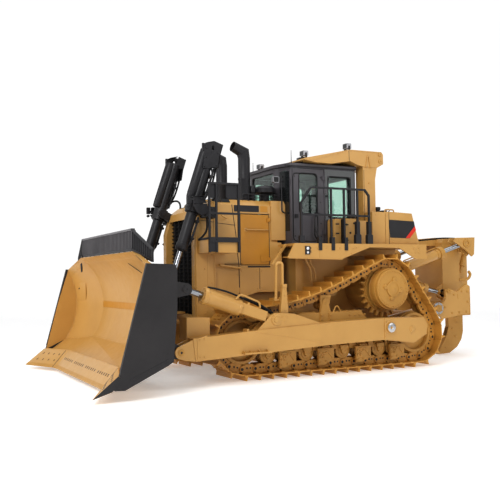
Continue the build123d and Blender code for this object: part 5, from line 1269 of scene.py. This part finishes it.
# lamps
m = Mesh()
for x, y0, z0, tall in ((-2.700, 0.900, 4.262, 0.148), (-1.700, 0.900, 4.060, 0.138)):
    m.box((x - 0.052, x + 0.052), (y0 - 0.068, y0 + 0.068), (z0 + 0.045, z0 + tall))
    for i in range(5):
        m.box((x - 0.062, x - 0.050), (y0 - 0.060 + 0.027 * i, y0 - 0.052 + 0.027 * i), (z0 + 0.055, z0 + tall - 0.010))
    m.box((x + 0.048, x + 0.058), (y0 - 0.073, y0 + 0.073), (z0 + 0.040, z0 + tall))
m.mirror().out("lamp_housings", LAMPM, "tractor", slot="lamp_metal", bevel=0.006, replaces=("work_lamps",))
m = Mesh()
for x, y0, z0, tall in ((-2.700, 0.900, 4.262, 0.148), (-1.700, 0.900, 4.060, 0.138)):
    m.box((x + 0.056, x + 0.061), (y0 - 0.060, y0 + 0.060), (z0 + 0.053, z0 + tall - 0.012))
m.mirror().out("lamp_lenses", GLSD, "tractor", slot="lamp_metal", bevel=0.002)
m = Mesh()
for x, y0, z0, zb in ((-2.700, 0.900, 4.262, 4.258), (-1.700, 0.900, 4.060, 3.995)):
    m.prism([(x - 0.030, zb - 0.03), (x + 0.030, zb - 0.03), (x + 0.030, z0 + 0.012), (x - 0.030, z0 + 0.012)], y0 - 0.09, y0 - 0.05)
    m.box((x - 0.085, x + 0.085), (y0 - 0.088, y0 + 0.088), (z0 - 0.004, z0 + 0.010))
    for t in (-1, 1):
        m.prism([(x - 0.022, z0), (x + 0.022, z0), (x + 0.014, z0 + 0.100), (x - 0.014, z0 + 0.100)], y0 + t * 0.078 - 0.004, y0 + t * 0.078 + 0.004)
        m.bolt((x, y0 + t * 0.082, z0 + 0.085), (0, t, 0), 0.012, 0.009)
m.tube([(-2.76, 0.86, 4.262), (-2.84, 0.86, 4.30), (-2.90, 0.84, 4.268)], 0.008, 0.03, 8)
m.mirror().out("lamp_brackets", BLK, "tractor", slot="black_paint", bevel=0.001)

# ------------------------------------------------------------------ ripper
m = Mesh()
for x, z in ((-5.313, 1.440),):
    m.lathe((x, 0.808, z), (0, 1, 0), [(0, 0.052), (0.020, 0.052), (0.024, 0.040), (0.024, 0.020), (0.016, 0.016), (0.016, 0)], 20)
for x, z in ((-5.20, 1.10), (-5.20, 1.30), (-5.40, 0.97), (-5.60, 0.98), (-5.80, 0.98), (-5.84, 1.20), (-5.84, 1.42), (-5.68, 1.43), (-5.46, 1.36)):
    m.bolt((x, 0.810, z), (0, 1, 0), 0.019, 0.014)
m.prism([(-5.549, 1.378), (-5.565, 1.262), (-5.585, 1.262), (-5.569, 1.378)], 0.806, 0.814)
# weld beads round the carriage's plates
m.sweep([(-5.16, 0.811, 1.175), (-5.228, 0.811, 1.290), (-5.222, 0.811, 1.470)], 0.007, 6)
m.sweep([(-5.905, 0.811, 1.52), (-5.908, 0.811, 0.925), (-5.545, 0.811, 0.918)], 0.007, 6)
# ring round the pin of the arms
m.ring((-5.003, 0.809, 1.081), (0, 1, 0), 0.014, 0.112, 0.070, 28)
m.ring((-5.810, 0.852, 2.470), (0, 1, 0), 0.018, 0.092, 0.052, 28)
for i in range(6):
    a = polar((-5.003, 1.081), 0.092, 60 * i + 20)
    m.bolt((a[0], 0.823, a[1]), (0, 1, 0), 0.011, 0.008, washer=False)
m.mirror().out("carriage_trim", YELC, "ripper_carriage", slot="yellow_paint", bevel=0.001)
m = Mesh()
# rear face: puller cylinder, pins and hook
m.lathe((-6.282, 0.30, 2.330), (0.32, 0.0, -0.95), [(0, 0.050), (0.012, 0.062), (0.30, 0.062), (0.31, 0.072), (0.36, 0.072), (0.37, 0.034), (0.52, 0.034), (0.53, 0)], 20)
m.mirror()
for z in (1.22, 1.75, 2.35):
    m.rod((-6.336, -0.19, z), (-6.336, 0.19, z), 0.034, 16)
m.tube([(-6.185, 0.50, 1.860), (-6.24, 0.50, 1.80), (-6.20, 0.50, 1.72), (-6.10, 0.50, 1.665), (-5.95, 0.45, 1.68)], 0.030, 0.05, 10)
for z in (0.99, 1.16, 1.33, 1.50):
    for s in (1, -1):
        m.bolt((-6.10, s * 0.301, z), (0, s, 0), 0.017, 0.012)
        m.bolt((-6.22, s * 0.301, z), (0, s, 0), 0.017, 0.012)
m.out("shank_block_trim", YELC, "ripper_carriage", slot="yellow_paint", bevel=0.001)
m = Mesh()
# shank: pin holes, shin guard and tip
for z in (0.72, 0.86):
    for s in (1, -1):
        m.ring((-6.20, s * 0.0525 - (0.002 if s > 0 else -0.002), z), (0, s, 0), 0.006, 0.042, 0.028, 20)
for z in (1.90, 2.12):
    for s in (1, -1):
        m.ring((-6.36, s * 0.0525 - (0.002 if s > 0 else -0.002), z), (0, s, 0), 0.006, 0.030, 0.020, 16)
m.prism([(-5.968, 0.620), (-5.880, 0.380), (-5.800, 0.262), (-5.855, 0.250), (-5.960, 0.390), (-6.010, 0.610)], -0.060, 0.060)
m.prism([(-5.800, 0.262), (-5.700, 0.124), (-5.664, 0.016), (-5.800, 0.018), (-5.985, 0.030), (-6.060, 0.090), (-5.960, 0.230)], -0.064, 0.064)
for p in ((-6.083, 0.568), (-6.170, 0.392), (-5.93, 0.45), (-5.87, 0.16)):
    for s in (1, -1):
        y = s * (0.052 if p[0] < -6.0 else 0.060)
        m.lathe((p[0], y - s * 0.003, p[1]), (0, s, 0), [(0, 0.026), (0.011, 0.026), (0.014, 0.018), (0.014, 0.009), (0.009, 0)], 16)
m.out("shank_trim", YELC, "ripper_carriage", slot="yellow_paint", bevel=0.002)

# pin caps on the tractor's brackets and arms
m = Mesh()
m.lathe((-4.020, 0.8825, 1.895), (0, 1, 0), [(0, 0.060), (0.012, 0.060), (0.016, 0.048), (0.016, 0.014), (0.010, 0)], 24)
for k in range(4):
    a = pi / 4 + k * pi / 2
    m.bolt((-4.020 + 0.074 * cos(a), 0.8835, 1.895 + 0.074 * sin(a)), (0, 1, 0), 0.009, 0.007)
m.mirror().out("pitch_pin_caps", YELC, "pitch_pins", slot="yellow_paint")
m = Mesh()
m.lathe((-4.020, 0.616, 1.720), (0, 1, 0), [(0, 0.060), (0.010, 0.060), (0.013, 0.048), (0.013, 0)], 24)
m.lathe((-3.350, 0.768, 0.740), (0, 1, 0), [(0, 0.075), (0.012, 0.075), (0.016, 0.060), (0.016, 0.018), (0.010, 0)], 24)
m.mirror().out("bracket_pin_caps", YELC, "tractor", slot="yellow_paint")
m = Mesh()
m.lathe((-5.003, 0.845, 1.081), (0, 1, 0), [(0, 0.078), (0.010, 0.078), (0.014, 0.062), (0.014, 0.016), (0.008, 0)], 24)
for k in range(6):
    a = pi / 6 + k * pi / 3
    m.bolt((-5.003 + 0.097 * cos(a), 0.846, 1.081 + 0.099 * sin(a)), (0, 1, 0), 0.011, 0.008)
m.mirror().out("arm_pin_caps", YELC, "ripper_pins", slot="yellow_paint")


def along_axis(p, q, d, y, side=0.0):
    """Point d metres along a cylinder's axis, moved aside in its upright plane."""
    ux, uz = q[0] - p[0], q[1] - p[1]
    l = sqrt(ux * ux + uz * uz)
    ux, uz = ux / l, uz / l
    return Vector((p[0] + ux * d - uz * side, y, p[1] + uz * d + ux * side)), Vector((ux, 0, uz))


PCP, PCE = (-4.020, 1.895), (-5.810, 2.470)
RLP, RLE_ = (-4.020, 1.720), (-5.370, 1.394)
for name, p, q, y, r, length, rod in (("pitch", PCP, PCE, 0.750, 0.108, 1.240, 0.050), ("ripper_lift", RLP, RLE_, 0.510, 0.088, 0.950, 0.042)):
    m = Mesh()
    c, n = along_axis(p, q, length - 0.115, y)
    m.ring(c, n, 0.110, r + 0.024, r - 0.004, 32, 0.006)
    m.ring(c + n * 0.112, n, 0.018, r * 0.86, rod + 0.004, 32, 0.003)
    for i in range(8):
        a = radians(45 * i + 22)
        u = Vector((0, 1, 0))
        v = n.cross(u)
        m.bolt(c + n * 0.110 + (u * cos(a) + v * sin(a)) * (r + 0.006), n, 0.012, 0.009, washer=False)
    c, n = along_axis(p, q, 0.135, y)
    m.ring(c, n, 0.045, r + 0.010, r - 0.004, 32, 0.004)
    for d in (0.25, length - 0.20):
        c, n = along_axis(p, q, d, y)
        m.ring(c, n, 0.022, r + 0.007, r - 0.004, 28, 0.002)
    # hard line along the barrel's top
    pts = [along_axis(p, q, d, y - 0.02, -(r + h))[0] for d, h in ((0.20, 0.0), (0.22, 0.028), (length - 0.15, 0.028), (length - 0.12, 0.012))]
    m.tube(pts, 0.013, 0.03, 8)
    c, n = along_axis(p, q, 0.22, y + 0.03, -(r - 0.004))
    m.lathe(c, (n.z, 0, -n.x) if n.x < 0 else (-n.z, 0, n.x), [(0, 0.020), (0.020, 0.020), (0.022, 0.012), (0.022, 0)], 12)
    m.mirror().out(f"{name}_barrel_trim", YELC if name == "pitch" else YEL, f"{name}_barrels", slot="yellow_paint", bevel=0.001)
    m = Mesh()
    m.ring((q[0], y - 0.050, q[1]), (0, 1, 0), 0.100, 0.088, 0.040, 28, 0.004)
    c, n = along_axis(p, q, sqrt((q[0] - p[0]) ** 2 + (q[1] - p[1]) ** 2) - 0.125, y)
    m.lathe(c, n, [(0, rod), (0.012, rod + 0.018), (0.060, rod + 0.018), (0.066, rod + 0.004)], 24)
    m.mirror().out(f"{name}_rod_eyes", YELC, f"{name}_rods", slot="yellow_paint")
hoses("ripper_hoses", both([
    [(-3.90, 0.36, 2.30), (-4.20, 0.36, 2.52), (-4.60, 0.30, 2.62), (-4.95, 0.24, 2.60), (-5.15, 0.20, 2.575)],
    [(-3.90, 0.30, 2.30), (-4.22, 0.30, 2.48), (-4.62, 0.26, 2.58), (-4.96, 0.18, 2.58), (-5.15, 0.14, 2.573)]])[:0] or both([
    [(-5.00, 0.20, 2.550), (-5.20, 0.20, 2.566), (-5.40, 0.20, 2.584), (-5.55, 0.24, 2.605), (-5.75, 0.30, 2.612), (-5.90, 0.40, 2.60)],
    [(-5.00, 0.12, 2.550), (-5.20, 0.12, 2.566), (-5.40, 0.12, 2.584), (-5.60, 0.14, 2.612), (-5.85, 0.16, 2.615), (-6.05, 0.20, 2.585)]]),
    0.016, RUB, "ripper_carriage")
m = Mesh()
for x in (-5.08, -5.30, -5.50):
    z = 2.535 + (-4.96 - x) * 0.08
    m.box((x - 0.02, x + 0.02), (-0.235, 0.235), (z + 0.026, z + 0.040))
m.out("hose_clamps", YELC, "ripper_carriage", slot="yellow_paint", bevel=0.002)

# ------------------------------------------------------------------ lift cylinders
def holed(m, outer, inner, lo, hi):
    """A plate with one opening; outer and inner rings have the same number of points."""
    n = len(outer)
    v = [m.bm.verts.new((p[0], h, p[1])) for h in (lo, hi) for ring in (outer, inner) for p in ring]
    o0, i0, o1, i1 = v[:n], v[n:2 * n], v[2 * n:3 * n], v[3 * n:]
    for i in range(n):
        j = (i + 1) % n
        m.bm.faces.new([o0[i], o0[j], i0[j], i0[i]])
        m.bm.faces.new([o1[j], o1[i], i1[i], i1[j]])
        m.bm.faces.new([o0[j], o0[i], o1[i], o1[j]])
        m.bm.faces.new([i0[i], i0[j], i1[j], i1[i]])


LC = Vector((0.593, 0.88, 3.050))
LD = (Vector((1.281, 0.88, 1.000)) - LC).normalized()
LN = Vector((LD.z, 0, -LD.x))  # towards the hood
if LN.x > 0:
    LN = -LN


def lp(d, side=0.0, y=0.0):
    return LC + LD * d + LN * side + Vector((0, y, 0))


m = Mesh()
m.lathe(LC, LD, [(-1.085, 0.060), (-1.085, 0.088), (-1.070, 0.100), (-0.965, 0.100), (-0.960, 0.095), (-0.125, 0.095),
                 (-0.122, 0.108), (-0.112, 0.139), (0.112, 0.139), (0.122, 0.108), (0.125, 0.096), (0.690, 0.096),
                 (0.694, 0.107), (0.800, 0.107), (0.812, 0.098), (0.820, 0.075), (0.820, 0.053)], 40)
for s in (1, -1):
    m.lathe(LC, (0, s, 0), [(0.10, 0.075), (0.152, 0.075), (0.154, 0.045), (0.225, 0.045), (0.226, 0.030), (0.226, 0)], 26)
for i in range(8):
    a = 2 * pi * i / 8 + 0.3
    q = lp(0.815) + (LN * cos(a) + Vector((0, 1, 0)) * sin(a)) * 0.082
    m.bolt(q, LD, 0.009, 0.010, washer=False)
m.mirror().out("lift_barrel_shells", BLK, "lift_barrels", slot="black_paint", replaces=("lift_barrels",))

# covers over the hose ends at the heads
m = Mesh()
outer = [(0.458, 3.735), (0.420, 3.985), (0.425, 4.175), (0.345, 4.212), (0.223, 4.238), (0.052, 4.181), (0.113, 3.965), (0.154, 3.758)]
inner = [(0.266, 4.062), (0.272, 4.090), (0.268, 4.138), (0.254, 4.158), (0.238, 4.160), (0.224, 4.146), (0.222, 4.084), (0.236, 4.062)]
holed(m, outer, inner, 0.962, 0.978)
m.prism([(0.458, 3.735), (0.30, 3.742), (0.262, 3.99), (0.420, 3.985)], 0.955, 0.984)
m.prism([(0.148, 3.752), (0.113, 3.965), (0.046, 4.178), (0.062, 4.184), (0.129, 3.970), (0.164, 3.756)], 0.800, 0.978)
m.prism([(0.455, 3.735), (0.148, 3.752), (0.152, 3.768), (0.455, 3.751)], 0.958, 0.978)
m.prism([(0.290, 3.99), (0.120, 3.99), (0.060, 4.178), (0.200, 4.230), (0.250, 4.12)], 0.800, 0.818)
m.prism([(0.373, 4.204), (0.223, 4.238), (0.223, 4.226), (0.373, 4.192)], 0.820, 0.978)
m.lathe((0.372, 0.985, 4.120), (0, 1, 0), [(-0.06, 0.030), (0.0, 0.030), (0.004, 0.026)], 14)
m.rod((0.420, 0.93, 4.05), (0.420, 0.93, 4.195), 0.026, 12)
for x, z in ((0.385, 3.940), (0.420, 3.775), (0.190, 3.80), (0.150, 4.02)):
    m.bolt((x, 0.984 if x > 0.3 else 0.978, z), (0, 1, 0), 0.012, 0.009)
m.mirror().out("lift_head_covers", BLK, "lift_barrels", slot="black_paint", bevel=0.002)

# hard lines beside the barrels with their clamps
m = Mesh()
m.lathe(lp(0.0, -0.105), LD, [(-1.060, 0.050), (-1.055, 0.084), (-1.040, 0.088), (-0.150, 0.088), (-0.132, 0.078), (-0.130, 0.04)], 26)
m.prism([(lp(d, k).x, lp(d, k).z) for d, k in ((-0.98, -0.085), (-0.98, -0.198), (-0.20, -0.198), (-0.20, -0.085))], 0.872, 0.888)
m.tube([lp(-0.76, 0.075, 0.07), lp(-0.70, 0.128, 0.07), lp(-0.18, 0.128, 0.07)], 0.019, 0.05, 10)
m.tube([lp(-0.76, 0.075, -0.05), lp(-0.70, 0.120, -0.05), lp(-0.18, 0.120, -0.05)], 0.016, 0.05, 10)
m.tube([lp(0.16, 0.130, 0.03), lp(0.62, 0.130, 0.03), lp(0.70, 0.095, 0.03)], 0.020, 0.05, 10)
for d in (-0.62, -0.30, 0.24, 0.56):
    m.prism([(lp(d - 0.02, 0.088).x, lp(d - 0.02, 0.088).z), (lp(d - 0.02, 0.150).x, lp(d - 0.02, 0.150).z),
             (lp(d + 0.02, 0.150).x, lp(d + 0.02, 0.150).z), (lp(d + 0.02, 0.088).x, lp(d + 0.02, 0.088).z)], 0.82, 0.965)
    m.bolt((lp(d, 0.10).x, 0.965, lp(d, 0.10).z), (0, 1, 0), 0.009, 0.008)
m.mirror().out("lift_hard_lines", BLK, "lift_barrels", slot="black_paint", bevel=0.0015)

# caps of the swivel yokes
m = Mesh()
m.prism([(0.700, 3.205), (0.512, 3.222), (0.440, 3.100), (0.700, 3.080)], 1.094, 1.112)
m.prism([(0.716, 3.070), (0.440, 3.090), (0.420, 2.990), (0.440, 2.930), (0.536, 2.868), (0.640, 2.940)], 1.094, 1.122)
m.prism([(0.700, 3.215), (0.470, 3.225), (0.470, 3.205), (0.700, 3.195)], 1.030, 1.112)
m.prism([(0.450, 3.035), (0.450, 2.862), (0.300, 2.860), (0.300, 3.030)], 1.096, 1.106)
for x, z in ((0.665, 3.165), (0.535, 3.175), (0.480, 2.985), (0.600, 2.985), (0.540, 2.905), (0.340, 2.990), (0.340, 2.900)):
    m.bolt((x, 1.110 if x > 0.4 else 1.106, z), (0, 1, 0), 0.013, 0.010)
m.box((0.735, 0.800), (1.035, 1.090), (3.080, 3.210))
m.prism([(0.65, 3.14), (0.735, 3.15), (0.735, 3.10), (0.65, 3.09)], 1.040, 1.085)
m.lathe((0.775, 1.030, 3.040), (0, 1, 0), [(0, 0.026), (0.05, 0.026), (0.054, 0.018)], 12)
m.mirror().out("lift_yoke_caps", BLK, "tractor", slot="black_paint", bevel=0.0025)

hoses("lift_head_hoses", both([
    [(0.215, 0.930, 3.745), (0.275, 0.930, 3.55), (0.365, 0.930, 3.32), (0.440, 0.930, 3.18)],
    [(0.165, 0.900, 3.752), (0.215, 0.900, 3.56), (0.300, 0.950, 3.34), (0.440, 0.960, 3.16)],
]), 0.017, RUB, "lift_barrels")
hoses("lift_supply_hoses", both([
    [(0.190, 0.790, 3.170), (0.150, 0.860, 3.28), (0.220, 0.900, 3.36), (0.380, 0.920, 3.30), (0.455, 0.940, 3.17)],
    [(0.390, 0.980, 2.860), (0.360, 0.960, 2.72), (0.400, 0.930, 2.55), (0.520, 0.905, 2.46)],
]), 0.018, RUB, "tractor")

m = Mesh()
m.lathe((1.281, 0.822, 1.000), (0, 1, 0), [(0, 0.050), (0.002, 0.078), (0.114, 0.078), (0.116, 0.050)], 28)
m.mirror().out("lift_rod_bushes", DRK, "lift_rods", slot="black_paint")



# ------------------------------------------------------------------ floor, light, camera
bpy.ops.mesh.primitive_plane_add(size=160, location=(0, 0, -0.002))
floor = bpy.context.object
floor.name = "floor"
fm, fnt, fb = new_mat("floor_pale")
fnt.links.new(ramp(fnt, noise(fnt, 0.4, 3.0), [(0.3, (0.86, 0.86, 0.87)), (0.7, (0.90, 0.90, 0.90))]),
              fb.inputs["Base Color"])
fb.inputs["Roughness"].default_value = 0.9
fb.inputs["Emission Color"].default_value = (1.0, 1.0, 1.0, 1)
fb.inputs["Emission Strength"].default_value = 0.32
floor.data.materials.append(fm)

world = bpy.data.worlds.new("studio")
bpy.context.scene.world = world
world.use_nodes = True
world.node_tree.nodes["Background"].inputs["Color"].default_value = (1.0, 1.0, 1.0, 1)
world.node_tree.nodes["Background"].inputs["Strength"].default_value = 0.50


def area(name, loc, target, size, power, color=(1, 1, 1)):
    li = bpy.data.lights.new(name, "AREA")
    li.shape = "RECTANGLE"
    li.size, li.size_y = size
    li.energy = power
    li.color = color
    ob = bpy.data.objects.new(name, li)
    ob.location = loc
    d = Vector(target) - Vector(loc)
    ob.rotation_euler = d.to_track_quat("-Z", "Y").to_euler()
    bpy.context.scene.collection.objects.link(ob)
    return ob


area("key", (14, 12, 13), (0, 0, 1.5), (7, 7), 1700)
area("top", (0, 2, 12), (0, 0, 1.0), (12, 12), 600)
area("side", (-8, 16, 7), (-1, 0, 1.5), (10, 6), 380)
area("front", (16, -2, 6), (3, 0, 1.2), (8, 5), 480)

# white sheet behind the machine as the camera sees it
bpy.ops.mesh.primitive_plane_add(size=1.0, location=(-12.9, -27.0, 10.0))
sheet = bpy.context.object
sheet.name = "studio_sheet"
sheet.scale = (110.0, 40.0, 1.0)
sheet.rotation_euler = (radians(90), 0, radians(62.98 - 90))
sm, snt, sb = new_mat("studio_white")
snt.links.new(ramp(snt, noise(snt, 0.2, 2.0), [(0.3, (0.99, 0.99, 0.99)), (0.7, (1.0, 1.0, 1.0))]), sb.inputs["Emission Color"])
sb.inputs["Base Color"].default_value = (0, 0, 0, 1)
sb.inputs["Emission Strength"].default_value = 1.0
sheet.data.materials.append(sm)

yaw, pitch, roll = radians(62.9817), radians(2.2812), radians(-0.7644)
fwd = Vector((-cos(yaw) * cos(pitch), -sin(yaw) * cos(pitch), sin(pitch)))
right = fwd.cross(Vector((0, 0, 1))).normalized()
up = right.cross(fwd).normalized()
r2 = right * cos(roll) + up * sin(roll)
u2 = -right * sin(roll) + up * cos(roll)
cam_data = bpy.data.cameras.new("camera")
cam_data.sensor_width = 36.0
cam_data.lens = 52.857
cam_data.dof.use_dof = False
cam_data.clip_end = 400
cam = bpy.data.objects.new("camera", cam_data)
cam.matrix_world = Matrix((
    (r2.x, u2.x, -fwd.x, 7.3727),
    (r2.y, u2.y, -fwd.y, 12.9143),
    (r2.z, u2.z, -fwd.z, 1.750),
    (0, 0, 0, 1),
))
bpy.context.scene.collection.objects.link(cam)
bpy.context.scene.camera = cam
bpy.context.scene.view_settings.view_transform = "Standard"
bpy.context.scene.view_settings.gamma = 0.82
